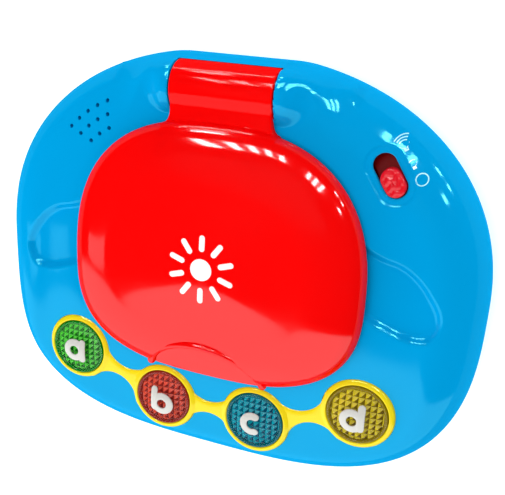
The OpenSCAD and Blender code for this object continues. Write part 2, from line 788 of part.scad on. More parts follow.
module lid_inner_panel() {
    mirror_gap = 0.15;
    color("white") difference() {
        union() {
            translate([0, 0, lid_panel_z]) linear_extrude(0.6) polygon(oval_outline(lid_oval, 6.3));
            translate([0, 0, lid_panel_z]) linear_extrude(2) polygon(oval_outline(lid_oval, 8.1));
        }
        // clear of the thumb face
        translate([-32, -60, lid_panel_z - 1]) cube([64, 24.5, 4]);
        translate([0, 12, lid_panel_z - 1]) rounded_plate(82 + 2 * mirror_gap, 60 + 2 * mirror_gap, 2.4, 8);
        at_each(lid_screw_at) {
            translate([0, 0, lid_panel_z - 1]) cylinder(r = 2.6, h = 2, $fn = small);
            translate([0, 0, lid_panel_z - 1]) cylinder(r = 1.4, h = 4, $fn = small);
        }
    }
}

module lid_mirror() {
    color("lightgray") translate([0, 12, lid_panel_z]) rounded_plate(82, 60, 1.4, 7.9);
}

module lid_screws() {
    color("silver") at_each(lid_screw_at) translate([0, 0, lid_panel_z - 0.6]) screw(2.4, 1.05, 6);
}

module hinge_pin() {
    color("silver") translate([-neck_half_w - 11, 0, 0]) hinge_frame()
        cylinder(r = pin_r, h = 2 * (neck_half_w + 11), $fn = medium);
}

base_bottom_shell();
base_top_shell();
button_bezel();
hinge_pin();
case_screws();
battery_door();
battery_door_screw();
battery(0);  // battery_1
battery(1);  // battery_2
battery(2);  // battery_3
battery_contacts();
main_circuit_board();
board_screws();
sound_chip();
button_leds();
speaker_frame();
speaker_magnet();
switch_board();
slide_switch_body();
switch_guide_plate();
key_deck();
key_membrane();
lid_outer_shell();
lid_inner_panel();
lid_mirror();
lid_screws();
power_switch_knob();
button_cap(0);  // button_cap_a
button_cap(1);  // button_cap_b
button_cap(2);  // button_cap_c
button_cap(3);  // button_cap_d
button_prism(0);  // button_prism_a
button_prism(1);  // button_prism_b
button_prism(2);  // button_prism_c
button_prism(3);  // button_prism_d
contact_ring(0);  // contact_ring_a
contact_ring(1);  // contact_ring_b
contact_ring(2);  // contact_ring_c
contact_ring(3);  // contact_ring_d
key(0);  // key_1
key(1);  // key_2
key(2);  // key_3
key(3);  // key_4
key(4);  // key_5
key(5);  // key_6
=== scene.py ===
"""Looks of a toy laptop computer.

A glossy pebble-shaped body carries a hinged domed lid, four clear domed buttons and a slide switch, with a
keypad and a mirror under the lid. Lengths are in millimetres until a piece is finished.
"""

import json
import logging
import math
from collections.abc import Callable, Sequence
from dataclasses import dataclass, field, replace
from enum import Enum

import bmesh
import bpy
from bmesh.types import BMesh, BMFace, BMVert
from bpy.types import Material, NodeSocket, Object
from mathutils import Matrix, Vector
from mathutils.bvhtree import BVHTree


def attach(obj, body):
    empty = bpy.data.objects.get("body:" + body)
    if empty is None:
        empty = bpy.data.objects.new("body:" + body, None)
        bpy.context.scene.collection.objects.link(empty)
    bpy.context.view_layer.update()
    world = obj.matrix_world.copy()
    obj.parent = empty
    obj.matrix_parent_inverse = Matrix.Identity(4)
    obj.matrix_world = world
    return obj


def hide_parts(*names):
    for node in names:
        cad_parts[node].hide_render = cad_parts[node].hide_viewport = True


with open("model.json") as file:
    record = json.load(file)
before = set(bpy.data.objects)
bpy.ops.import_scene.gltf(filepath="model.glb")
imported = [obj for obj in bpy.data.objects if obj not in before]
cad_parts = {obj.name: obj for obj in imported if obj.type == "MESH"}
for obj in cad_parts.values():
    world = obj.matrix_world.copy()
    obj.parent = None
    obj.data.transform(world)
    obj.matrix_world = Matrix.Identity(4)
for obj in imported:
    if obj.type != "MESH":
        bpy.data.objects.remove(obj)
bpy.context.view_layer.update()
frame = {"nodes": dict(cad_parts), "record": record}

log = logging.getLogger("toy_laptop")
MM = 0.001
WELD = 1e-4  # points nearer to each other than this are one point
HIGH = 80.0  # above the whole object, where rays start down to a skin
DOWN = Vector((0, 0, -1))
PRINT_LEVELS = (-0.1, 0.035)  # foot and face of a printed mark, from the skin under it
Colour = tuple[float, float, float]
Point = tuple[float, float]
Ring = list[Vector]


# ---- small maths ----


def smooth(value: float) -> float:
    """Ease from 0 to 1 as value goes from 0 to 1."""
    u = max(0.0, min(1.0, value))
    return u * u * (3 - 2 * u)


def ramp(value: float, soft: float = 0.35) -> float:
    """Rise from 0 to 1 with a straight middle and filleted ends, each of that share of the way.

    Args:
        value: how far along, from 0 to 1.
        soft: the share of each fillet.

    Returns:
        The height, from 0 to 1.
    """
    u = max(0.0, min(1.0, value))
    if u > 0.5:
        return 1 - ramp(1 - u, soft)
    return u * u / (2 * soft * (1 - soft)) if u < soft else (u - soft / 2) / (1 - soft)


def soft_max(a: float, b: float, reach: float) -> float:
    """The larger of a and b, filleted where they are within reach of each other."""
    h = max(0.0, reach - abs(a - b)) / reach
    return max(a, b) + h * h * reach / 4


def soft_min(a: float, b: float, reach: float) -> float:
    """The smaller of a and b, filleted where they are within reach of each other."""
    return -soft_max(-a, -b, reach)


def arc_height(radius: float, off: float) -> float:
    """Height of a circle of that radius above its centre line, at distance off from its centre."""
    return math.sqrt(max(radius * radius - off * off, 0.0))


def turned(point: Point, degrees: float) -> Point:
    """A point of the plan turned about the origin."""
    c, s = math.cos(math.radians(degrees)), math.sin(math.radians(degrees))
    return c * point[0] - s * point[1], s * point[0] + c * point[1]


def circle(middle: Point, radius: float, count: int) -> list[Point]:
    """Points evenly round a circle."""
    turns = [math.tau * i / count for i in range(count)]
    return [(middle[0] + radius * math.cos(t), middle[1] + radius * math.sin(t)) for t in turns]


def quarter_turns(steps: int) -> list[float]:
    """Angles from nothing to a quarter turn, in radians."""
    return [math.pi / 2 * i / steps for i in range(steps + 1)]


def laid(skin: BVHTree, x: float, y: float, lift: float) -> Vector:
    """The point of a skin at a place of the plan, lifted above it."""
    hit = skin.ray_cast(Vector((x, y, HIGH)), DOWN)[0]
    return Vector((x, y, hit.z + lift))


def outline_distance(point: Point, outline: Sequence[Point]) -> float:
    """Distance of a point of the plan from a closed outline, negative inside it.

    Args:
        point: the point of the plan.
        outline: the corners of the outline, in order.

    Returns:
        The signed distance.
    """
    nearest, inside = math.inf, False
    x, y = point
    for (ax, ay), (bx, by) in zip(outline, [*outline[1:], outline[0]]):
        dx, dy = bx - ax, by - ay
        t = max(0.0, min(1.0, ((x - ax) * dx + (y - ay) * dy) / (dx * dx + dy * dy)))
        nearest = min(nearest, math.hypot(x - ax - t * dx, y - ay - t * dy))
        if (ay > y) != (by > y) and x < ax + (y - ay) / dy * dx:
            inside = not inside
    return -nearest if inside else nearest


def rounded_outline(corners: Sequence[Point], passes: int) -> list[Point]:
    """Cut the corners of a closed outline, again and again, into one flowing curve.

    Args:
        corners: its corners, in order.
        passes: how often they are cut.

    Returns:
        The curve.
    """
    points = list(corners)
    for _ in range(passes):
        points = [
            (a[0] * w + b[0] * (1 - w), a[1] * w + b[1] * (1 - w))
            for a, b in zip(points, [*points[1:], points[0]])
            for w in (0.75, 0.25)
        ]
    return points


@dataclass(frozen=True)
class Oval:
    """A pebble outline: a superellipse whose back may be cut flat.

    Attributes:
        half_width: half of its width.
        front: from its widest line to its front.
        back: from its widest line to its back, before that is cut flat.
        front_power: squareness of the front half.
        back_power: squareness of the back half.
        flat_back: from the widest line to the flat back.
    """

    half_width: float
    front: float
    back: float
    front_power: float
    back_power: float
    flat_back: float

    def point(self, angle: float, inset: float) -> Point:
        """The point of the outline at angle, moved inwards by inset square to the edge.

        Args:
            angle: the angle round the middle, in radians.
            inset: how far inside the edge.

        Returns:
            The point.
        """
        c, s = math.cos(angle), math.sin(angle)
        power, depth = (self.front_power, self.front) if s < 0 else (self.back_power, self.back)
        across, along = abs(c) / self.half_width, abs(s) / depth
        reach = (across**power + along**power) ** (-1 / power)
        gx = math.copysign((reach * across) ** (power - 1) / self.half_width, c)
        gy = math.copysign((reach * along) ** (power - 1) / depth, s)
        size = math.hypot(gx, gy)
        x, y = reach * c - inset * gx / size, reach * s - inset * gy / size
        return x, soft_min(y, self.flat_back - inset, 0.8) if s > 0 else y

    def ring(self, inset: float, z: float, count: int) -> Ring:
        """A level ring of count points, moved inwards by inset."""
        return [Vector((*self.point(math.tau * i / count, inset), z)) for i in range(count)]


@dataclass(frozen=True)
class Slot:
    """A long hole with round ends, turned in the plan.

    Attributes:
        centre: its middle.
        length: its whole length.
        width: its width.
        turn: degrees from straight back.
    """

    centre: Point
    length: float
    width: float
    turn: float

    def to_slot(self, x: float, y: float) -> Point:
        """A point of the plan in the slot's own directions: across, along."""
        return turned((x - self.centre[0], y - self.centre[1]), -self.turn)

    def to_plan(self, across: float, along: float) -> Point:
        """A point given across and along the slot, in the plan."""
        x, y = turned((across, along), self.turn)
        return x + self.centre[0], y + self.centre[1]

    def distance(self, x: float, y: float) -> float:
        """Distance from the slot's edge, negative inside it.

        Args:
            x: place in the plan.
            y: place in the plan.

        Returns:
            The signed distance.
        """
        across, along = self.to_slot(x, y)
        reach = (self.length - self.width) / 2
        return math.hypot(across, max(abs(along) - reach, 0.0)) - self.width / 2

    def outline(self, grow: float, steps: int) -> list[Point]:
        """The slot's edge grown by grow, with steps points round each end.

        Args:
            grow: how far outside the edge.
            steps: steps round each end.

        Returns:
            The outline in the plan.
        """
        reach, radius = (self.length - self.width) / 2, self.width / 2 + grow
        ends = [
            (radius * math.cos(a), side * reach + radius * math.sin(a))
            for side, start in ((1, 0.0), (-1, math.pi))
            for a in (start + math.pi * i / steps for i in range(steps + 1))
        ]
        return [self.to_plan(*p) for p in ends]


# ---- modelling ----


class Piece:
    """One piece of the object while it is modelled in millimetres."""

    def __init__(self, name: str) -> None:
        """Start an empty piece of that name."""
        self.name = name
        self.bm: BMesh = bmesh.new()

    def loft(self, rings: Sequence[Ring], cap_first: bool = False, cap_last: bool = False) -> list[BMFace]:
        """Skin closed rings by extruding a circle from each to the next.

        Args:
            rings: rings of as many points each.
            cap_first: close the first ring with a face.
            cap_last: close the last ring with a face.

        Returns:
            The faces made, without the caps.
        """
        made = bmesh.ops.create_circle(self.bm, segments=len(rings[0]), radius=1, cap_ends=cap_first)["verts"]
        place = dict(zip(made, range(len(made))))
        for vert, at in place.items():
            vert.co = rings[0][at]
        edges = {e for v in made for e in v.link_edges}
        faces: list[BMFace] = []
        for ring in rings[1:]:
            geometry = bmesh.ops.extrude_edge_only(self.bm, edges=list(edges))["geom"]
            new = [g for g in geometry if isinstance(g, BMVert)]
            below = {v: [e.other_vert(v) for e in v.link_edges] for v in new}
            index = {v: next(place[w] for w in others if w in place) for v, others in below.items()}
            for vert, at in index.items():
                vert.co = ring[at]
            edges = {e for v in new for e in v.link_edges if e.other_vert(v) in index}
            faces += [g for g in geometry if isinstance(g, BMFace)]
            place = index
        if cap_last:
            bmesh.ops.contextual_create(self.bm, geom=list(edges))
        return faces

    def turn_profile(self, profile: Sequence[Point], centre: Point, steps: int, closed: bool = False) -> None:
        """Spin a half section, given as radius and height, about an upright axis.

        Args:
            profile: its points.
            centre: the axis in the plan.
            steps: how many steps round.
            closed: join the last point to the first.
        """
        verts = [self.bm.verts.new((r, 0, z)) for r, z in profile]
        pairs = list(zip(verts, verts[1:])) + ([(verts[-1], verts[0])] if closed else [])
        edges = [self.bm.edges.new(pair) for pair in pairs]
        before = set(self.bm.verts) - set(verts)
        bmesh.ops.spin(
            self.bm,
            geom=verts + edges,
            cent=(0, 0, 0),
            axis=(0, 0, 1),
            angle=math.tau,
            steps=steps,
            use_merge=True,
            use_duplicate=False,
        )
        bmesh.ops.translate(self.bm, verts=list(set(self.bm.verts) - before), vec=(*centre, 0))

    def ball(self, at: Vector, radius: float) -> None:
        """Add a small ball.

        Args:
            at: its middle.
            radius: its radius.
        """
        bmesh.ops.create_uvsphere(
            self.bm, u_segments=24, v_segments=16, radius=radius, matrix=Matrix.Translation(at)
        )

    def rod(self, start: Vector, end: Vector, radius: float, segments: int = 48) -> None:
        """Add a round rod between two points.

        Args:
            start: middle of one end.
            end: middle of the other.
            radius: its radius.
            segments: sides round it.
        """
        along = end - start
        turn = along.to_track_quat("Z", "Y").to_matrix().to_4x4()
        bmesh.ops.create_cone(
            self.bm,
            cap_ends=True,
            segments=segments,
            radius1=radius,
            radius2=radius,
            depth=along.length,
            matrix=Matrix.Translation((start + end) / 2) @ turn,
        )

    def refine(self, wanted: Callable[[Vector], bool], faces: Sequence[BMFace]) -> None:
        """Halve the edges of those faces whose middle is wanted."""
        edges = {e for f in faces if f.is_valid and wanted(f.calc_center_median()) for e in f.edges}
        bmesh.ops.subdivide_edges(self.bm, edges=list(edges), cuts=1, use_grid_fill=True)

    def soften(self, width: float, angle: float = 35, segments: int = 2) -> None:
        """Round every edge that is sharper than angle degrees, by width.

        Args:
            width: width of the rounding.
            angle: the least angle that is rounded.
            segments: faces across it.
        """
        limit = math.radians(angle)
        edges = [e for e in self.bm.edges if len(e.link_faces) == 2 and e.calc_face_angle(0) > limit]
        bmesh.ops.bevel(
            self.bm,
            geom=edges,
            offset=width,
            offset_type="OFFSET",
            affect="EDGES",
            segments=segments,
            profile=0.5,
            material=-1,
            clamp_overlap=True,
        )

    def take(self, node: str) -> None:
        """Start from a merged copy of a CAD node's mesh.

        Args:
            node: the node's name.
        """
        self.bm.from_mesh(frame["nodes"][node].data)
        bmesh.ops.scale(self.bm, verts=self.bm.verts, vec=(1 / MM,) * 3)
        bmesh.ops.remove_doubles(self.bm, verts=self.bm.verts, dist=WELD)
        bmesh.ops.dissolve_limit(
            self.bm, angle_limit=math.radians(0.5), verts=self.bm.verts, edges=self.bm.edges
        )

    def tree(self) -> BVHTree:
        """A search tree of the piece as it stands."""
        return BVHTree.FromBMesh(self.bm)

    def finish(
        self, body: str, slot: str, material: Material, stands_for: Sequence[str] = (), sharp: float = 38
    ) -> Object:
        """Make the object, in metres at the origin, riding on its body.

        Args:
            body: the CAD body that it moves with.
            slot: the record's slot of the piece; it is not used.
            material: its material.
            stands_for: the CAD nodes that it replaces.
            sharp: edges above this angle stay crisp, in degrees.

        Returns:
            The object.
        """
        bmesh.ops.remove_doubles(self.bm, verts=self.bm.verts, dist=WELD)
        bmesh.ops.recalc_face_normals(self.bm, faces=self.bm.faces)
        bmesh.ops.scale(self.bm, verts=self.bm.verts, vec=(MM,) * 3)
        for face in self.bm.faces:
            face.material_index = 0
            face.smooth = True
        mesh = bpy.data.meshes.new(self.name)
        self.bm.to_mesh(mesh)
        self.bm.free()
        mesh.materials.append(material)
        mesh.set_sharp_from_angle(angle=math.radians(sharp))
        piece = bpy.data.objects.new(self.name, mesh)
        bpy.context.scene.collection.objects.link(piece)
        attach(piece, body)
        if stands_for:
            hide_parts(*stands_for)
        log.info("%s: %d faces on %s", self.name, len(mesh.polygons), body)
        return piece

    def combine(self, other: "Piece", operation: str) -> None:
        """Cut another closed piece out of this one, or join it on, with an exact Boolean.

        Args:
            other: the piece to cut or join, which is used up.
            operation: DIFFERENCE, UNION or INTERSECT.
        """
        objects = []
        for piece in (self, other):
            bmesh.ops.remove_doubles(piece.bm, verts=piece.bm.verts, dist=WELD)
            bmesh.ops.recalc_face_normals(piece.bm, faces=piece.bm.faces)
            mesh = bpy.data.meshes.new("work")
            piece.bm.to_mesh(mesh)
            objects.append(bpy.data.objects.new("work", mesh))
            bpy.context.scene.collection.objects.link(objects[-1])
        cut = objects[0].modifiers.new("cut", "BOOLEAN")
        cut.operation, cut.solver, cut.object = operation, "EXACT", objects[1]
        made = bpy.data.meshes.new_from_object(
            objects[0].evaluated_get(bpy.context.evaluated_depsgraph_get())
        )
        self.bm.clear()
        self.bm.from_mesh(made)
        other.bm.free()
        spare = [made, *(o.data for o in objects)]
        for o in objects:
            bpy.data.objects.remove(o)
        for mesh in spare:
            bpy.data.meshes.remove(mesh)


# ---- finishes ----


class Value:
    """A number that changes over a surface: a socket that takes part in sums."""

    def __init__(self, socket: NodeSocket) -> None:
        """Wrap an output socket."""
        self.socket = socket

    def _math(self, operation: str, *terms: "Value | float") -> "Value":
        """Add one Math node for an operation on the terms.

        Args:
            operation: the node's operation.
            terms: what it works on after this value.

        Returns:
            Its result.
        """
        node = self.socket.id_data.nodes.new("ShaderNodeMath")
        node.operation = operation
        for place, term in zip(node.inputs, terms):
            if isinstance(term, Value):
                self.socket.id_data.links.new(term.socket, place)
            else:
                place.default_value = term
        return Value(node.outputs[0])

    def __add__(self, other: "Value | float") -> "Value":
        """self + other."""
        return self._math("ADD", self, other)

    def __radd__(self, other: float) -> "Value":
        """other + self."""
        return self._math("ADD", other, self)

    def __sub__(self, other: "Value | float") -> "Value":
        """self - other."""
        return self._math("SUBTRACT", self, other)

    def __rsub__(self, other: float) -> "Value":
        """other - self."""
        return self._math("SUBTRACT", other, self)

    def __mul__(self, other: "Value | float") -> "Value":
        """self * other."""
        return self._math("MULTIPLY", self, other)

    def __rmul__(self, other: float) -> "Value":
        """other * self."""
        return self._math("MULTIPLY", other, self)

    def above(self, edge: float) -> "Value":
        """1 where self is above edge, 0 elsewhere."""
        return self._math("GREATER_THAN", self, edge)

    def larger(self, other: "Value | float") -> "Value":
        """The larger of the two."""
        return self._math("MAXIMUM", self, other)

    def sine(self) -> "Value":
        """The sine of self."""
        return self._math("SINE", self)

    def size(self) -> "Value":
        """self without its sign."""
        return self._math("ABSOLUTE", self)


Input = Value | NodeSocket | float | tuple[float, ...]


class Shader:
    """A material's node tree while it is put together."""

    def __init__(self, name: str) -> None:
        """Start an empty material of that name.

        Args:
            name: the material's name.
        """
        self.material = bpy.data.materials.new(name)
        self.material.use_nodes = True
        self.material.node_tree.nodes.clear()

    def node(self, kind: str, settings: dict[str, object] | None = None, **sockets: Input) -> bpy.types.Node:
        """Add a node.

        Args:
            kind: its type, without the ShaderNode in front.
            settings: its own settings, set before its sockets.
            sockets: values or links of its inputs, by name with _ for a space, or sN for input number N.

        Returns:
            The node.
        """
        node = self.material.node_tree.nodes.new(f"ShaderNode{kind}")
        for name, value in (settings or {}).items():
            setattr(node, name, value)
        for name, value in sockets.items():
            place = node.inputs[int(name[1:])] if name[1:].isdigit() else node.inputs[name.replace("_", " ")]
            if isinstance(value, Value):
                value = value.socket
            if isinstance(value, NodeSocket):
                self.material.node_tree.links.new(value, place)
            else:
                place.default_value = value
        return node

    def where(self) -> NodeSocket:
        """The point being shaded, in the object's coordinates."""
        return self.node("TexCoord").outputs["Object"]

    def noise(self, per_metre: float, detail: float = 2) -> Value:
        """A soft cloudy pattern from 0 to 1."""
        clouds = self.node("TexNoise", Vector=self.where(), Scale=per_metre, Detail=detail)
        return Value(clouds.outputs["Fac"])

    def axis(self, name: str) -> Value:
        """One of the point's coordinates, in metres."""
        return Value(self.node("SeparateXYZ", Vector=self.where()).outputs[name])

    def tint(self, share: Input, first: Colour | NodeSocket, second: Colour | NodeSocket) -> NodeSocket:
        """A colour between two others.

        Args:
            share: how much of the second.
            first: the first colour.
            second: the second colour.

        Returns:
            The mixed colour.
        """
        first, second = ((*c, 1.0) if isinstance(c, tuple) else c for c in (first, second))
        mix = self.node("Mix", {"data_type": "RGBA"}, s0=share, s6=first, s7=second)
        return mix.outputs[2]

    def bump(self, height: Value, strength: float, depth_mm: float) -> NodeSocket:
        """A normal that follows a height from 0 to 1, of that depth."""
        return self.node("Bump", Height=height, Strength=strength, Distance=depth_mm * MM).outputs["Normal"]

    def plastic(self, **sockets: Input) -> NodeSocket:
        """A Principled shader."""
        return self.node("BsdfPrincipled", **sockets).outputs["BSDF"]

    def done(self, surface: NodeSocket) -> Material:
        """Send the surface to the output and return the material."""
        self.node("OutputMaterial", Surface=surface)
        return self.material


@dataclass(frozen=True)
class GlossyPlastic:
    """Injection-moulded plastic with a polished skin.

    Attributes:
        name: the material's name.
        colour: its colour.
        shade: the slightly deeper colour of its thicker flow lines.
        roughness: how dull the skin is.
        mirror: the share of light that it mirrors head on.
        ripple: depth of the moulding's faint ripple, in millimetres.
        mirror_tint: the tint of what it mirrors.
        rim: how much more it mirrors at a grazing angle.
    """

    name: str
    colour: Colour
    shade: Colour
    roughness: float = 0.08
    mirror: float = 0.035
    ripple: float = 0.012
    mirror_tint: Colour = (1.0, 1.0, 1.0)
    rim: float = 0.35

    def material(self) -> Material:
        """Build the material.

        Returns:
            The material.
        """
        sh = Shader(self.name)
        flow = sh.noise(14, 3)
        fingers = sh.noise(190, 4)
        normal = sh.bump(sh.noise(55, 1) + sh.noise(420, 2) * 0.12, 0.9, self.ripple)
        dull = self.roughness * (0.75 + fingers * 0.5)
        body = sh.plastic(
            Base_Color=sh.tint(flow, self.colour, self.shade),
            Roughness=dull,
            Specular_IOR_Level=0.0,
            Normal=normal,
        )
        tint = (*self.mirror_tint, 1.0)
        shine = sh.node("BsdfGlossy", Color=tint, Roughness=dull, Normal=normal).outputs[0]
        share = Value(sh.node("Fresnel", IOR=1.5, Normal=normal).outputs[0]) * self.rim + self.mirror
        return sh.done(sh.node("MixShader", s0=share, s1=body, s2=shine).outputs[0])


@dataclass(frozen=True)
class FacetPlastic:
    """Clear coloured plastic over cut facets, with painted light and shade: each facet is coloured lighter or
    darker by the way it faces a fixed light direction.

    Attributes:
        name: the material's name.
        lit_colour_or_tip_lift: the painted highlight colour, on the facets that face lit_from.
        shaded_facet_colour: the painted shade colour, on the facets that face away from it.
        lit_from: the fixed direction of the painted light, which the brighter facets face.
    """

    name: str
    lit_colour_or_tip_lift: Colour
    shaded_facet_colour: Colour
    lit_from: tuple[float, float, float] = (-0.8, 0.6, 0.0)

    def material(self) -> Material:
        """Build the material.

        Returns:
            The material.
        """
        sh = Shader(self.name)
        # Painted light and shade: the facet's world normal against lit_from picks its colour, lit on one
        # side, shaded on the other.
        normal = sh.node("NewGeometry").outputs["Normal"]
        facing = sh.node("VectorMath", {"operation": "DOT_PRODUCT"}, s0=normal, s1=self.lit_from)
        share = 0.5 - Value(facing.outputs["Value"]) * 0.95
        return sh.done(
            sh.plastic(
                Base_Color=sh.tint(share + (sh.noise(700) - 0.5) * 0.5, self.lit_colour_or_tip_lift, self.shaded_facet_colour),
                Roughness=0.3 + sh.noise(500) * 0.1,
                Specular_IOR_Level=0.15,
            )
        )


@dataclass(frozen=True)
class ClearPlastic:
    """A clear dome that lets light through and mirrors like polished plastic.

    Attributes:
        name: the material's name.
        tint: the colour of what shows through it.
    """

    name: str
    tint: Colour

    def material(self) -> Material:
        """Build the material.

        Returns:
            The material.
        """
        sh = Shader(self.name)
        clear = sh.node("BsdfTransparent", Color=(*self.tint, 1.0)).outputs[0]
        shine = sh.node("BsdfGlossy", Color=(1.0, 1.0, 1.0, 1.0), Roughness=0.04).outputs[0]
        mirrored = Value(sh.node("Fresnel", IOR=1.45).outputs[0]) * 0.05
        return sh.done(sh.node("MixShader", s0=mirrored, s1=clear, s2=shine).outputs[0])


@dataclass(frozen=True)
class Print:
    """Printed or inlaid marks: flat, a little duller than what they lie on.

    Attributes:
        name: the material's name.
        colour: the ink.
        roughness: how dull it is.
    """

    name: str
    colour: Colour
    roughness: float = 0.3

    def material(self) -> Material:
        """Build the material.

        Returns:
            The material.
        """
        sh = Shader(self.name)
        patchy = sh.noise(900, 3)
        worn = tuple(c * 0.93 for c in self.colour)
        return sh.done(
            sh.plastic(
                Base_Color=sh.tint(patchy, self.colour, worn),
                Roughness=self.roughness + (patchy - 0.5) * 0.15,
                Coat_Weight=0.3,
                Coat_Roughness=0.08,
            )
        )


@dataclass(frozen=True)
class Metal:
    """Plated or polished metal.

    Attributes:
        name: the material's name.
        colour: its colour.
        roughness: how dull it is.
        brushed: how strongly its scratches show, in millimetres.
    """

    name: str
    colour: Colour
    roughness: float = 0.25
    brushed: float = 0.01

    def material(self) -> Material:
        """Build the material.

        Returns:
            The material.
        """
        sh = Shader(self.name)
        scratch = sh.noise(1500, 3)
        dull = tuple(c * 0.8 for c in self.colour)
        return sh.done(
            sh.plastic(
                Base_Color=sh.tint(sh.noise(160), self.colour, dull),
                Metallic=1.0,
                Roughness=self.roughness + (scratch - 0.5) * 0.12,
                Normal=sh.bump(scratch, 0.6, self.brushed),
            )
        )


@dataclass(frozen=True)
class MattePart:
    """Rubber, black plastic, paper and the like, with a fine grain.

    Attributes:
        name: the material's name.
        colour: its colour.
        roughness: how dull it is.
        grain_mm: depth of the grain.
    """

    name: str
    colour: Colour
    roughness: float = 0.6
    grain_mm: float = 0.03

    def material(self) -> Material:
        """Build the material.

        Returns:
            The material.
        """
        sh = Shader(self.name)
        grain = sh.noise(2200, 3)
        light = tuple(min(1.0, c * 1.15 + 0.01) for c in self.colour)
        return sh.done(
            sh.plastic(
                Base_Color=sh.tint(sh.noise(90, 3), self.colour, light),
                Roughness=self.roughness + (grain - 0.5) * 0.2,
                Normal=sh.bump(grain, 0.7, self.grain_mm),
            )
        )


@dataclass(frozen=True)
class CircuitBoard:
    """Green lacquer over copper tracks.

    Attributes:
        name: the material's name.
        lacquer: colour of the bare board.
        track: colour of the lacquer over copper.
    """

    name: str = "circuit_board_lacquer"
    lacquer: Colour = (0.01, 0.11, 0.035)
    track: Colour = (0.03, 0.24, 0.07)

    def material(self) -> Material:
        """Build the material.

        Returns:
            The material.
        """
        sh = Shader(self.name)
        x, y = sh.axis("X"), sh.axis("Y")
        rows = ((x * 2600.0 + sh.noise(30) * 18).sine()).above(0.35)
        columns = ((y * 2100.0 + sh.noise(22) * 14).sine()).above(0.55)
        tracks = rows.larger(columns) * sh.noise(45).above(0.47)
        return sh.done(
            sh.plastic(
                Base_Color=sh.tint(tracks, self.lacquer, self.track),
                Roughness=0.32 + sh.noise(700) * 0.1,
                Normal=sh.bump(tracks, 0.8, 0.035),
            )
        )


@dataclass(frozen=True)
class BatteryJacket:
    """A battery's plastic sleeve: one colour with a dark band.

    Attributes:
        name: the material's name.
        sleeve: the sleeve's colour.
        band: the band's colour.
    """

    name: str = "battery_sleeve"
    sleeve: Colour = (0.75, 0.3, 0.03)
    band: Colour = (0.02, 0.02, 0.025)

    def material(self) -> Material:
        """Build the material.

        Returns:
            The material.
        """
        sh = Shader(self.name)
        dark = sh.axis("X").above(-0.009)
        return sh.done(
            sh.plastic(
                Base_Color=sh.tint(dark, self.sleeve, self.band),
                Roughness=0.28 + sh.noise(400) * 0.1,
                Coat_Weight=0.4,
                Coat_Roughness=0.1,
            )
        )


# ---- sub-assemblies ----

BODY = Oval(119, 96, 98, 3, 2.2, 96)
LID = Oval(70, 49.5, 69.5, 2.7, 2.5, 200)
HINGE_Y = 82.2
HINGE_Z = 27.6
SWITCH = Slot((73.4, 56.4), 19.4, 9.8, 34)
BUTTONS: tuple[Point, ...] = ((-71.8, -52.1), (-23.9, -68.3), (23.9, -68.3), (71.8, -52.1))


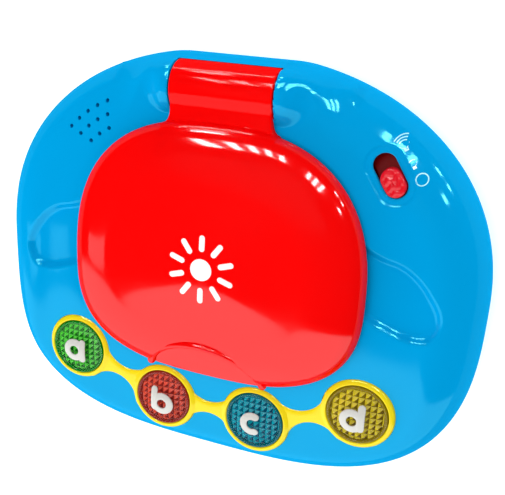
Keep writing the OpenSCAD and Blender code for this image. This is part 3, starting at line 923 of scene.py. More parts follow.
@dataclass
class BodyShells:
    """The blue body: a lower tub and an upper shell that meet at the seam.

    Attributes:
        seam_z: height of the seam.
        deck_z: height of the top face at the inner end of its rounded edge.
        crown: further rise of the top face towards the lid.
        side_run: width of the rounded top edge at the sides.
        front_run: the same in front of the buttons.
        hinge_run: the same behind the hinge.
        foot_run: width of the rounded bottom edge.
        wall: wall of both shells.
        around: points round each ring.
        knuckle_r: radius of the knuckles beside the lid's neck.
        neck_half: half of the gap between the knuckles.
        scoop_depth: depth of the recess at each side.
        scoop_step: width of the filleted step round it.
        button_bore: radius of the holes for the buttons.
        speaker_bore: radius of the speaker's holes.
        barrel_bore: radius of the hollow for the lid's barrel.
        slot_gap: how much wider than the switch's slot its hole is, on each side.
        screw_bore: radius of the screw wells.
    """

    seam_z: float = 13.5
    deck_z: float = 34.0
    crown: float = 1.0
    side_run: float = 24.0
    front_run: float = 14.0
    hinge_run: float = 7.0
    foot_run: float = 9.0
    wall: float = 3.0
    around: int = 320
    knuckle_r: float = 11.6
    neck_half: float = 23.9
    scoop_depth: float = 2.6
    scoop_step: float = 4.0
    button_bore: float = 17.0
    speaker_bore: float = 0.95
    barrel_bore: float = 11.85
    slot_gap: float = 0.75
    screw_bore: float = 3.6
    scoop: list[Point] = field(
        default_factory=lambda: rounded_outline(
            [
                *((50, 44), (60, 36), (66, 27.5), (74, 23.2), (84, 21.3), (92, 15.8), (98, 8.6)),
                *((102.3, 1.5), (103, -6), (99, -13.2), (92, -14.6), (84, -13.2), (72, -8.5), (52, -3)),
            ],
            4,
        )
    )

    def edge_run(self, angle: float) -> float:
        """Width of the rounded top edge at an angle round the body.

        Args:
            angle: the angle, in radians.

        Returns:
            The width.
        """
        x, y = BODY.point(angle, 0)
        if y < 0:
            return self.front_run + (self.side_run - self.front_run) * smooth((y + 70) / 60)
        return self.hinge_run + (self.side_run - self.hinge_run) * smooth((abs(x) - 34) / 22)

    def edge_ring(self, quarter: float, skin: float, count: int) -> Ring:
        """One ring round the quarter ellipse of the top edge.

        Args:
            quarter: how far round it, from 0 at the seam to 1 at the top.
            skin: how far inside the outer skin.
            count: points round the ring.

        Returns:
            The ring.
        """
        ring: Ring = []
        rise = self.deck_z - self.seam_z
        for i in range(count):
            angle = math.tau * i / count
            run = self.edge_run(angle)
            turn = quarter * math.pi / 2
            c, s = math.cos(turn) / run, math.sin(turn) / rise
            size = math.hypot(c, s)
            inset = run * (1 - math.cos(turn)) + skin * c / size
            z = self.seam_z + rise * math.sin(turn) - skin * s / size
            ring.append(Vector((*BODY.point(angle, inset), z)))
        return ring

    def deck_rings(self, skin: float, count: int, step: float) -> list[Ring]:
        """Rings from the inner end of the rounded edge to the middle of the deck.

        Args:
            skin: how far inside the outer skin.
            count: points round each ring.
            step: distance between rings.

        Returns:
            The rings.
        """
        rings: list[Ring] = []
        inset = step
        while inset < 48:
            ring: Ring = []
            for i in range(count):
                angle = math.tau * i / count
                run = self.edge_run(angle)
                own = run + inset * (48 - run) / 48
                z = self.deck_z + self.crown * smooth((own - self.side_run) / 24) - skin
                ring.append(Vector((*BODY.point(angle, own), z)))
            rings.append(ring)
            inset += step
        last = rings[-1]
        for share in (0.3, 0.6, 0.85):
            rings.append([p.lerp(Vector((0, 4, p.z)), share) for p in last])
        return rings

    def raised_by_knuckle(self, at: Vector) -> float:
        """Height of the skin where it swells over the hinge's knuckles.

        Args:
            at: a point of the skin.

        Returns:
            Its height on the knuckle.
        """
        side, off = abs(at.x), abs(at.y - HINGE_Y)
        fade = smooth((side - 26) / 19)
        lead = 0.9 * (1 - arc_height(1, max(0.0, 1 - (side - self.neck_half) / 0.9)))
        radius = self.knuckle_r - 4 * fade - (lead if side >= self.neck_half else 0.0)
        crest = HINGE_Z - 8.5 * fade + arc_height(radius, off) - 2 * max(0.0, off - radius)
        return soft_max(at.z, crest, 4.5)

    def dish_depth(self, away: float) -> float:
        """Depth of the shallow dish round the switch, at a distance from its slot."""
        return 0.65 * (1 - ramp((away - 2.4) / 1.3)) + 0.3 * (1 - smooth(away / 2.4))

    def shape_top(self, piece: Piece, faces: list[BMFace]) -> None:
        """Move the outer skin to its knuckles, recesses and switch dish.

        Args:
            piece: the upper shell.
            faces: the faces of its outer skin.
        """
        for face in faces:
            face.material_index = 1

        def at_scoop(p: Vector) -> bool:
            """True on the step round a side's recess.

            Args:
                p: a point of the skin.

            Returns:
                True there.
            """
            if abs(p.x) < 55 or not -20 < p.y < 44:
                return False
            return -self.scoop_step - 0.8 < outline_distance((abs(p.x), p.y), self.scoop) < 0.8

        def near_feature(p: Vector) -> bool:
            """True where the skin needs a finer mesh.

            Args:
                p: a point of the skin.

            Returns:
                True there.
            """
            at_hinge = abs(p.x) < 52 and p.y > 66 and p.z > 18
            at_slot = abs(SWITCH.distance(p.x, p.y)) < 6.5
            return at_hinge or at_slot or at_scoop(p)

        def at_rim(p: Vector) -> bool:
            """True where a slot or notch edge needs the finest mesh."""
            at_notch = abs(abs(p.x) - 24.6) < 1.8 and p.y > 68 and p.z > 22
            return -1.6 < SWITCH.distance(p.x, p.y) < 4.4 or at_notch or at_scoop(p)

        piece.refine(near_feature, [f for f in piece.bm.faces if f.material_index == 1])
        piece.refine(at_rim, [f for f in piece.bm.faces if f.material_index == 1])
        outer = {v for f in piece.bm.faces if f.material_index == 1 for v in f.verts}
        for vert in outer:
            x, y = vert.co.x, vert.co.y
            if vert.co.z < self.seam_z + 3:
                continue
            if abs(x) < 56 and y > 62:
                vert.co.z = self.raised_by_knuckle(vert.co)
            if abs(x) > 52 and -20 < y < 46:
                inside = -outline_distance((abs(x), y), self.scoop)
                vert.co.z -= self.scoop_depth * ramp(inside / self.scoop_step)
            away = SWITCH.distance(x, y)
            if -3 < away < 3.7:
                vert.co.z -= self.dish_depth(away)

    def grille(self) -> list[Point]:
        """The middles of the speaker's holes: three bowed rows.

        Returns:
            The middles.
        """
        places: list[Point] = []
        for radius, count in ((55.0, 5), (49.3, 4), (43.5, 3)):
            for i in range(count):
                a = math.radians(126) + (i - (count - 1) / 2) * 5.8 / radius
                places.append((-34.3 + radius * math.cos(a), 22.3 + radius * math.sin(a)))
        return places

    def cutters(self) -> Piece:
        """Everything that is cut out of the upper shell, as closed bodies that don't overlap.

        Returns:
            The cutters.
        """
        cut = Piece("cut")
        for x, y in BUTTONS:
            cut.rod(Vector((x, y, 5)), Vector((x, y, 60)), self.button_bore, 128)
        for x, y in self.grille():
            cut.rod(Vector((x, y, 20)), Vector((x, y, 50)), self.speaker_bore, 24)
        left, right = (Vector((x, HINGE_Y, HINGE_Z)) for x in (-self.neck_half, self.neck_half))
        cut.rod(left, right, self.barrel_bore, 128)
        outline = SWITCH.outline(self.slot_gap, 24)
        cut.loft([[Vector((*p, z)) for p in outline] for z in (18, 50)], True, True)
        keys = rounded_plate_outline(108, 64, 10, 8)
        cut.loft([[Vector((x, y + 8, z)) for x, y in keys] for z in (20, 45)], True, True)
        return cut

    def build_top(self, finish: Material) -> BVHTree:
        """Make the upper shell.

        Args:
            finish: its material.

        Returns:
            A search tree of its outer skin before it is cut, for what lies on it.
        """
        shell = Piece("body_top_shell")
        few = [self.edge_ring(q / 8, self.wall, self.around) for q in range(8, -1, -1)]
        inner = [*reversed(self.deck_rings(self.wall, self.around, 12)), *few]
        outer = [self.edge_ring(q / 22, 0, self.around) for q in range(23)]
        outer += self.deck_rings(0, self.around, 1.5)
        faces = shell.loft([*inner, *outer], True, True)
        start = self.around * len(inner)
        self.shape_top(shell, faces[start:])
        skin = shell.tree()
        shell.combine(self.cutters(), "DIFFERENCE")
        shell.finish("base", "blue_shell", finish, ["base_top_shell"])
        return skin

    def build_bottom(self, finish: Material) -> None:
        """Make the lower tub, with its screw wells and the battery door's recess.

        Args:
            finish: its material.
        """
        tub = Piece("body_lower_tub")
        rings: list[Ring] = []
        rise = self.seam_z - 0.25
        for q in range(13):
            turn = q / 12 * math.pi / 2
            inset = self.foot_run * (1 - math.cos(turn)) + (0.12 if q == 0 else 0)
            rings.append(BODY.ring(inset, rise * (1 - math.sin(turn)), self.around))
        rings.append(BODY.ring(30, 0, self.around))
        levels = ((0.2, 2.2), (0.7, 4.5), (1, 9), (1, rise))
        inner = [BODY.ring(self.wall + 9 * (1 - c), z, self.around) for c, z in levels]
        floor = BODY.ring(30, 2.2, self.around)
        tub.loft([floor, *inner, *rings], True, True)
        cut = Piece("cut")
        for side in (-1, 1):
            for x, y in ((47.8, -80), (98, -25), (100, 25), (45, 76)):
                cut.rod(Vector((side * x, y, -1)), Vector((side * x, y, 2.1)), self.screw_bore, 48)
        door = rounded_plate_outline(64, 54, 2, 6)
        cut.loft([[Vector((x, y + 24, z)) for x, y in door] for z in (-1, 1.5)], True, True)
        tub.combine(cut, "DIFFERENCE")
        tab = Piece("cut")
        tab.rod(Vector((0, -6, -1)), Vector((0, -6, 1.5)), 6.3, 64)
        tub.combine(tab, "DIFFERENCE")
        tub.finish("base", "blue_shell", finish, ["base_bottom_shell"])


def rounded_plate_outline(width: float, depth: float, radius: float, steps: int) -> list[Point]:
    """The outline of a rectangle with round corners, with steps points round each.

    Args:
        width: its width.
        depth: its depth.
        radius: radius of its corners.
        steps: steps round each corner.

    Returns:
        The outline, about the origin.
    """
    points: list[Point] = []
    for sx, sy, start in ((1, 1, 0.0), (-1, 1, 0.5), (-1, -1, 1.0), (1, -1, 1.5)):
        x, y = sx * (width / 2 - radius), sy * (depth / 2 - radius)
        for i in range(steps + 1):
            a = (start + i / steps / 2) * math.pi
            points.append((x + radius * math.cos(a), y + radius * math.sin(a)))
    return points


@dataclass
class ButtonBezel:
    """The yellow trim: four sloping rings joined by three waisted bridges.

    Attributes:
        inner: radius of a ring's hole.
        outer: radius of a ring's outer wall.
        rim_z: height of a ring's inner rim.
        foot_z: height of the seat that the rings stand on.
        bridge_z: height of a bridge's middle.
        bridge_foot: underside of a bridge.
        waist: half of a bridge's narrowest width.
        fillet: radius of its hollow sides.
    """

    inner: float = 14.3
    outer: float = 16.9
    rim_z: float = 36.0
    foot_z: float = 27.05
    bridge_z: float = 35.15
    bridge_foot: float = 33.0
    waist: float = 3.2
    fillet: float = 13.5

    def ring_height(self, radius: float) -> float:
        """Height of a ring's face at a distance from its centre.

        Args:
            radius: the distance.

        Returns:
            The height.
        """
        if radius <= self.inner + 0.6:
            lip = (self.inner + 0.6 - radius) / 0.6
            return self.rim_z - 0.45 * (1 - arc_height(1, min(lip, 1)))
        slope = (radius - self.inner - 0.6) / (self.outer - self.inner - 0.6)
        fall = 1.25 * slope**1.5
        edge = max(0.0, (slope - 0.72) / 0.28)
        return self.rim_z - fall - 0.75 * (1 - arc_height(1, min(edge, 1)))

    def bridge_half(self, along: float) -> float:
        """Half of a bridge's width, at a distance along it from its middle."""
        return self.waist + self.fillet - arc_height(self.fillet, min(abs(along), self.fillet))

    def bridge_height(self, along: float, across: float) -> float:
        """Height of a bridge's face.

        Args:
            along: distance along it from its middle.
            across: distance across it.

        Returns:
            The height, or 0 beside it.
        """
        half = self.bridge_half(along)
        to_edge = half - abs(across)
        if to_edge < -0.3:
            return 0.0
        edge = 1 - arc_height(1, 1 - max(0.0, min(1.0, to_edge / 1.3)))
        return self.bridge_z - 1.1 * edge - 0.25 * (across / half) ** 2

    def height(self, x: float, y: float) -> float:
        """Height of the trim's face anywhere on it.

        Args:
            x: place in the plan.
            y: place in the plan.

        Returns:
            The height.
        """
        best = 0.0
        for centre in BUTTONS:
            radius = math.hypot(x - centre[0], y - centre[1])
            if radius < self.outer + 0.01:
                best = max(best, self.ring_height(radius))
        for start, end in zip(BUTTONS, BUTTONS[1:]):
            middle = ((start[0] + end[0]) / 2, (start[1] + end[1]) / 2)
            turn = math.degrees(math.atan2(end[1] - start[1], end[0] - start[0]))
            along, across = turned((x - middle[0], y - middle[1]), -turn)
            if abs(along) < 14 and abs(across) < 12:
                best = soft_max(best, self.bridge_height(along, across), 0.9)
        return best

    def build(self, finish: Material) -> None:
        """Make the rings and bridges as one piece.

        Args:
            finish: its material.
        """
        trim = Piece("button_bezel_trim")
        radii = [self.inner + (self.outer - self.inner) * i / 16 for i in range(17)]
        for x, y in BUTTONS:
            feet = [
                [Vector((*p, self.foot_z)) for p in circle((x, y), r, 144)] for r in (self.inner, self.outer)
            ]
            face = [[Vector((*p, self.height(*p))) for p in circle((x, y), r, 144)] for r in radii]
            trim.loft([feet[0], *face, feet[1], feet[0]])
        for start, end in zip(BUTTONS, BUTTONS[1:]):
            self.add_bridge(trim, start, end)
        trim.finish("base", "yellow_bezel", finish, ["button_bezel"])

    def add_bridge(self, trim: Piece, start: Point, end: Point) -> None:
        """Add the bridge between two rings.

        Args:
            trim: the piece that it is added to.
            start: centre of the ring at its left end.
            end: centre of the ring at its right end.
        """
        middle = Vector(((start[0] + end[0]) / 2, (start[1] + end[1]) / 2, 0))
        turn = math.degrees(math.atan2(end[1] - start[1], end[0] - start[0]))
        half_length = math.dist(start, end) / 2
        columns, rows = 40, 28
        rings: list[Ring] = []
        for i in range(columns + 1):
            u = -1 + 2 * i / columns
            ring: Ring = []
            for j in range(rows + 1):
                v = -1 + 2 * j / rows
                v = math.copysign(1 - (1 - abs(v)) ** 1.5, v)
                reach = half_length - arc_height(self.outer - 0.55, abs(v) * 9.2)
                along = u * min(reach, 11.3)
                across = v * self.bridge_half(along)
                x, y = turned((along, across), turn)
                x, y = x + middle.x, y + middle.y
                sunk = 0.06 * max(0.0, (abs(u) - 0.93) / 0.07)
                ring.append(Vector((x, y, self.height(x, y) - sunk)))
            low = [Vector((p.x, p.y, self.bridge_foot)) for p in (ring[-1], ring[0])]
            rings.append([*ring, *low])
        trim.loft(rings, True, True)


class Letter(Enum):
    """What is inlaid under a button's cap."""

    A = 0
    B = 1
    C = 2
    D = 3


@dataclass
class LightButton:
    """One clear button: a dome over a disc of cut facets, with an inlaid letter.

    Attributes:
        letter: its letter.
        lit_colour_or_tip_lift: the painted highlight colour of its facets, on those that face the fixed light
            direction; the clear dome's tint is taken from it too.
        shaded_facet_colour: the painted shade colour of its facets, on those that face away from it.
        skirt: colour of the cap's thick rim.
        slot: the record's slot of its cap.
    """

    letter: Letter
    lit_colour_or_tip_lift: Colour
    shaded_facet_colour: Colour
    skirt: Colour
    slot: str
    disc_r: float = 12.3
    disc_z: float = 34.8
    disc_dome: float = 1.5
    dome_r: float = 13.6
    dome_z: float = 36.3
    dome_rise: float = 3.35
    pitch: float = 2.9
    cut: float = 1.25

    @property
    def centre(self) -> Point:
        """Its middle in the plan."""
        return BUTTONS[self.letter.value]

    @property
    def body(self) -> str:
        """The CAD body that it moves with."""
        return f"button_{self.letter.name.lower()}"

    def dome(self, radius: float, rise: float) -> float:
        """Height of a shallow dome of that rise over the disc, above its edge."""
        share = min(1.0, radius / self.disc_r)
        return rise * (1 - share * share)

    @property
    def ball(self) -> float:
        """Radius of the ball that the clear dome is cut from."""
        return (self.dome_r**2 + self.dome_rise**2) / (2 * self.dome_rise)

    def dome_top(self, radius: float) -> float:
        """Height of the clear dome at a distance from its middle."""
        return self.dome_z + self.dome_rise - self.ball + arc_height(self.ball, radius)

    def build(self, ink: Material) -> None:
        """Make the cap, its rim, the facets and the letter.

        Args:
            ink: the letter's material.
        """
        self.build_facets()
        self.build_rim()
        self.build_dome()
        self.build_letter(ink)

    def build_facets(self) -> None:
        """Cut a domed disc into a grid of pyramids."""
        disc = Piece(f"{self.body}_facets")
        cells = math.ceil(self.disc_r / self.pitch) + 1
        side = cells * self.pitch
        bmesh.ops.create_grid(disc.bm, x_segments=2 * cells, y_segments=2 * cells, size=side)
        tips = set(bmesh.ops.poke(disc.bm, faces=disc.bm.faces[:])["verts"])
        rim = [e for e in disc.bm.edges if e.is_boundary]
        wall = bmesh.ops.extrude_edge_only(disc.bm, edges=rim)["geom"]
        low = [g for g in wall if isinstance(g, BMVert)]
        for vert in disc.bm.verts:
            lit_colour_or_tip_lift = self.cut if vert in tips else 0
            vert.co.z = self.disc_z + self.dome(vert.co.xy.length, self.disc_dome) + lit_colour_or_tip_lift
        for vert in low:
            vert.co.z = 33
        bmesh.ops.contextual_create(disc.bm, geom=[e for e in disc.bm.edges if e.is_boundary])
        trimmer = Piece("cut")
        trimmer.rod(Vector((0, 0, 34)), Vector((0, 0, 45)), self.disc_r, 96)
        disc.combine(trimmer, "INTERSECT")
        bmesh.ops.translate(disc.bm, verts=disc.bm.verts, vec=(*self.centre, 0))
        name = f"{self.body}_facet_plastic"
        node = f"button_prism_{self.letter.name.lower()}"
        # The facets' finish paints light and shade on them by the way each facet faces.
        finish = FacetPlastic(name, self.lit_colour_or_tip_lift, self.shaded_facet_colour).material()
        disc.finish(self.body, self.slot, finish, [node], sharp=12)

    def build_rim(self) -> None:
        """Turn the cap's thick rim and the flange that stops it under the shell."""
        rim = Piece(f"{self.body}_rim")
        flange = [(12.4, 23.4), (15.7, 23.4), (15.7, 24.8), (14.0, 24.8)]
        lip = [(14.0, 35.9), (13.85, 36.15), (13.6, 36.25), (12.9, 36.2), (12.55, 35.9), (12.4, 35.4)]
        rim.turn_profile(flange + lip, self.centre, 96, closed=True)
        shade = tuple(c * 0.6 for c in self.skirt)
        deep = GlossyPlastic(f"{self.body}_rim_plastic", self.skirt, shade, 0.06, 0.02, 0.004, rim=0.1)
        node = f"button_cap_{self.letter.name.lower()}"
        rim.finish(self.body, self.slot, deep.material(), [node])

    def build_dome(self) -> None:
        """Turn the clear dome."""
        dome = Piece(f"{self.body}_dome")
        radii = [self.dome_r * math.cos(t) for t in quarter_turns(20)[:-1]]
        low, high = self.dome_z, self.dome_z + self.dome_rise
        base = [(0.0, low + 0.02), (self.dome_r - 0.2, low - 0.02)]
        dome.turn_profile([*base, *((r, self.dome_top(r)) for r in radii), (0.0, high)], self.centre, 96)
        tint = tuple(0.95 + 0.05 * c for c in self.lit_colour_or_tip_lift)
        dome.finish(self.body, self.slot, ClearPlastic(f"{self.body}_clear_plastic", tint).material())

    def build_letter(self, ink: Material) -> None:
        """Lay the letter on the clear dome: round strokes of even width.

        Args:
            ink: its material.
        """
        name = self.letter.name.lower()
        mark = Piece(f"{self.body}_letter_{name}")
        bowl, half = 4.1, 1.7
        shifts = {Letter.A: (-0.3, -0.3), Letter.B: (0.9, -1.7), Letter.C: (0.0, 0.0), Letter.D: (-1.5, -1.7)}
        shift = shifts[self.letter]
        gap = math.radians(44) if self.letter is Letter.C else 0.0
        steps = 72
        turns = [gap + (math.tau - 2 * gap) * i / steps for i in range(steps + (1 if gap else 0))]
        self.add_stroke(mark, [(bowl * math.cos(a), bowl * math.sin(a)) for a in turns], half, shift, not gap)
        stems = {Letter.A: (bowl, -6.2, 6.0), Letter.B: (-bowl, -4.4, 8.6), Letter.D: (bowl, -5.0, 8.6)}
        if self.letter in stems:
            x, start, end = stems[self.letter]
            line = [(x, start + (end - start) * i / steps) for i in range(steps + 1)]
            self.add_stroke(mark, line, half, shift, False, 0.012)
        mark.finish(self.body, "white_panel", ink)

    def add_stroke(
        self, mark: Piece, path: Sequence[Point], half: float, shift: Point, closed: bool, lift: float = 0.0
    ) -> None:
        """Sweep one flat stroke with round ends over the dome.

        Args:
            mark: the piece that it is added to.
            path: the stroke's middle line.
            half: half of its width.
            shift: how far the letter is moved from the cap's middle.
            closed: the path is a loop.
            lift: how far it lies above the letter's other strokes.
        """
        half_section = ((-1, 0.03), (-0.94, 0.1), (-0.5, 0.11))
        section = [*half_section, (0, 0.11), *((-share, up) for share, up in reversed(half_section))]
        section += [(1, -0.3), (-1, -0.3)]
        rings: list[Ring] = []
        last = len(path) - 1
        for i, (x, y) in enumerate(path):
            if closed:
                before, after = path[i - 1], path[(i + 1) % len(path)]
            else:
                before, after = path[max(i - 1, 0)], path[min(i + 1, last)]
            size = math.dist(before, after)
            across = (-(after[1] - before[1]) / size, (after[0] - before[0]) / size)
            to_end = half if closed else min(half, math.dist((x, y), path[0]), math.dist((x, y), path[-1]))
            width = max(0.12, arc_height(half, half - to_end))
            ring: Ring = []
            for share, up in section:
                px, py = x + across[0] * width * share + shift[0], y + across[1] * width * share + shift[1]
                z = self.dome_top(math.hypot(px, py)) + up + lift
                ring.append(Vector((px + self.centre[0], py + self.centre[1], z)))
            rings.append(ring)
        mark.loft([*rings, rings[0]] if closed else rings, not closed, not closed)


@dataclass
class Lid:
    """The red lid: a domed pebble, its neck and barrel at the hinge, and its thumb face.

    Attributes:
        edge_z: height of its lower edge.
        rise: rise of its rounded shoulder.
        shoulder: width of the shoulder.
        crown: rise of the top above the shoulder.
        wall: wall of the moulding.
        around: points round each ring.
        neck_half: half of the neck's width.
        neck_z: height of the neck where it is thinnest.
        barrel_r: radius of the barrel on the hinge axis.
        tab_r: radius of the thumb face.
        tab_slope: slope of the thumb face, in degrees.
        ridge_r: radius of the rounded line round it.
        neck_span: where the neck starts on the cover and where it ends behind the hinge.
        neck_reach: reach of the fillet between the neck and the cover.
        barrel_edge: radius of the barrel's rounded ends.
        pin_bore: radius of the barrel's bore for the hinge pin.
    """

    edge_z: float = 36.2
    rise: float = 13.3
    shoulder: float = 26.0
    crown: float = 0.94
    wall: float = 2.4
    around: int = 288
    neck_half: float = 23.4
    neck_z: float = 37.6
    barrel_r: float = 11.6
    tab_r: float = 29.8
    tab_slope: float = 28.5
    ridge_r: float = 1.5
    neck_span: Point = (52.0, 84.0)
    neck_reach: float = 5.0
    barrel_edge: float = 0.7
    pin_bore: float = 1.56

    @property
    def tab_frame(self) -> Matrix:
        """The thumb face's own directions: Y up its slope, Z square to it."""
        turn = Matrix.Rotation(math.radians(self.tab_slope), 4, "X")
        return Matrix.Translation((0, -50, self.edge_z + 1.6)) @ turn @ Matrix.Translation((0, -6.6, 0))

    def shoulder_ring(self, quarter: float, skin: float) -> Ring:
        """One ring round the shoulder, from 0 at the edge to 1 at the top, skin inside the outer face.

        Args:
            quarter: how far up the shoulder.
            skin: how far inside the outer face.

        Returns:
            The ring.
        """
        turn = quarter * math.pi / 2
        c, s = math.cos(turn) / self.shoulder, math.sin(turn) / self.rise
        size = math.hypot(c, s)
        inset = self.shoulder * (1 - math.cos(turn)) + skin * c / size
        return LID.ring(inset, self.edge_z + self.rise * math.sin(turn) - skin * s / size, self.around)

    def crown_rings(self, skin: float, steps: int) -> list[Ring]:
        """Rings from the shoulder to the middle of the top.

        Args:
            skin: how far inside the outer face.
            steps: steps to the middle.

        Returns:
            The rings.
        """
        last = self.shoulder_ring(1, skin)
        rings: list[Ring] = []
        for i in range(1, steps):
            share = 1 - i / steps
            up = self.crown * (1 - share * share) ** 2
            rings.append([Vector((p.x * share, p.y * share + 5 * (1 - share), p.z + up)) for p in last])
        return rings

    def build_cover(self, finish: Material) -> BVHTree:
        """Make the domed cover.

        Args:
            finish: its material.

        Returns:
            A search tree of its outer skin, for what joins it or lies on it.
        """
        cover = Piece("lid_cover")
        inner = [*reversed(self.crown_rings(self.wall, 8))]
        inner += [self.shoulder_ring(q / 10, self.wall) for q in range(10, -1, -1)]
        inner[-1] = [Vector((p.x, p.y, self.edge_z + 0.25)) for p in inner[-1]]
        rim = LID.ring(self.wall - 0.3, self.edge_z, self.around)
        lip = LID.ring(0.35, self.edge_z, self.around)
        outer = [self.shoulder_ring(0.012 + 0.988 * (q / 34) ** 1.15, 0) for q in range(35)]
        faces = cover.loft([*inner, rim, lip, *outer, *self.crown_rings(0, 30)], True, True)
        first_outer = self.around * (len(inner) + 1)
        for face in faces[first_outer:]:
            face.material_index = 1
        back = self.tab_frame.inverted()

        def near_tab(p: Vector) -> bool:
            """True near the thumb face."""
            q = back @ p
            return p.y < -24 and q.z > -3 and math.hypot(q.x, q.y) < self.tab_r + 4

        cover.refine(near_tab, [f for f in cover.bm.faces if f.material_index == 1])
        outer_verts = {v for f in cover.bm.faces if f.material_index == 1 for v in f.verts}
        for vert in cover.bm.verts:
            q = back @ vert.co
            edge = math.hypot(q.x, q.y) - self.tab_r
            if vert.co.y > -20 or edge > 0.6:
                continue
            depth = 0.0 if vert in outer_verts else -1.8
            if q.z > depth:
                q.z = depth + (q.z - depth) * smooth(edge / 0.6)
                vert.co = self.tab_frame @ q
        skin = cover.tree()
        cover.finish("lid", "red_lid", finish, ["lid_outer_shell"])
        return skin

    def build_ridge(self, finish: Material) -> None:
        """Turn the rounded line round the thumb face, with its ball ends.

        Args:
            finish: its material.
        """
        ridge = Piece("lid_thumb_ridge")
        spread, steps = 69, 96
        middle = self.tab_r + 0.45
        rings: list[Ring] = []
        for i in range(steps + 1):
            a = math.radians(90 - spread + 2 * spread * i / steps)
            out = Vector((math.cos(a), math.sin(a), 0))
            end = min(i, steps - i) / steps * 2 * spread
            swell = self.ridge_r * (1 + 0.28 * (1 - smooth(end / 9)))
            ring = [
                out * (middle + swell * math.cos(t)) + Vector((0, 0, 0.45 + swell * 0.95 * math.sin(t)))
                for t in (math.tau * k / 20 for k in range(20))
            ]
            rings.append([self.tab_frame @ p for p in ring])
        ridge.loft(rings, True, True)
        for side in (-1, 1):
            a = math.radians(90 + side * spread)
            at = self.tab_frame @ Vector((middle * math.cos(a), middle * math.sin(a), 0.45))
            ridge.ball(at, self.ridge_r * 1.27)
        ridge.finish("lid", "red_lid", finish)

    def build_neck(self, finish: Material, skin: BVHTree) -> None:
        """Make the neck, which flows from the barrel up on to the shoulder, and the barrel.

        Args:
            finish: its material.
            skin: the cover's outer skin.
        """
        neck = Piece("lid_neck")

        def cover_z(x: float, y: float) -> float:
            """Height of the cover, or far below beside it."""
            hit = skin.ray_cast(Vector((x, y, HIGH)), DOWN)[0]
            return hit.z if hit and hit.z > self.edge_z - 0.5 else 0.0

        rings: list[Ring] = []
        rows, columns = 58, 44
        front, back = self.neck_span
        for i in range(rows + 1):
            y = front + (back - front) * i / rows
            flare = max(0.0, min(1.0, (73.0 - y) / 6.0))
            half = self.neck_half + 3.6 * (1 - arc_height(1, flare))
            plateau = soft_max(self.neck_z, HINGE_Z + arc_height(self.barrel_r, y - HINGE_Y), 0.8)
            sunk = 0.05 * max(0.0, y - 78.6)
            top: Ring = []
            for j in range(columns + 1):
                v = 1 - 2 * j / columns
                v = math.copysign(1 - (1 - abs(v)) ** 1.4, v)
                x = v * half
                to_edge = max(0.0, half - abs(x))
                edge = 1.1 * (1 - arc_height(1, 1 - min(1.0, to_edge / 1.1)))
                cover = cover_z(x, y)
                z = soft_max(plateau - edge, cover, self.neck_reach) - sunk
                if cover:
                    z -= 0.5 * (1 - smooth(to_edge / 1.2)) + 0.4 * (1 - smooth((y - front) / 2.5))
                top.append(Vector((x, y, z)))
            foot = 34.9 if y > 64 else min(p.z for p in top) - 1.5
            low = [Vector((p.x, y, foot)) for p in (top[-1], top[0])]
            rings.append([*top, *low])
        neck.loft(rings, True, True)
        neck.finish("lid", "red_lid", finish, sharp=50)
        barrel = Piece("lid_barrel")
        edge = self.barrel_edge
        profile = [
            (self.neck_half - edge * (1 - math.cos(t)), self.barrel_r - edge * (1 - math.sin(t)))
            for t in quarter_turns(6)
        ]
        across = [*profile, *((-x, r) for x, r in reversed(profile))]
        rings = [[Vector((x, *p)) for p in circle((HINGE_Y, HINGE_Z), r, 128)] for x, r in across]
        barrel.loft(rings, True, True)
        bore = Piece("cut")
        bore.rod(Vector((-40, HINGE_Y, HINGE_Z)), Vector((40, HINGE_Y, HINGE_Z)), self.pin_bore, 32)
        barrel.combine(bore, "DIFFERENCE")
        barrel.finish("lid", "red_lid", finish)

    def build_badge(self, ink: Material, skin: BVHTree) -> None:
        """Lay the printed mark on the lid: a small disc inside a ring of round-ended rays.

        Args:
            ink: its material.
            skin: the cover's outer skin.
        """
        badge = Piece("lid_printed_mark")
        middle: Point = (0, 8)

        def add(outline: list[Point]) -> None:
            """Lay one closed flat shape on the cover.

            Args:
                outline: its outline in the plan.
            """
            rings: list[Ring] = []
            centre = Vector((sum(p[0] for p in outline), sum(p[1] for p in outline))) / len(outline)
            for grow, lift in ((1.0, -0.15), (1.0, 0.02), (0.985, 0.03)):
                ring: Ring = []
                for p in outline:
                    q = centre + (Vector(p) - centre) * grow
                    ring.append(laid(skin, q.x, q.y, lift))
                rings.append(ring)
            badge.loft(rings, True, True)

        add(circle(middle, 5.0, 48))
        rays = 10
        for i in range(rays):
            ray = Slot((0, 0), 7.4, 2.6, 0).outline(0, 10)
            turn = 360 * i / rays
            add([(p[0] + middle[0], p[1] + middle[1]) for p in (turned((x, y + 12.0), turn) for x, y in ray)])
        badge.finish("lid", "white_panel", ink)


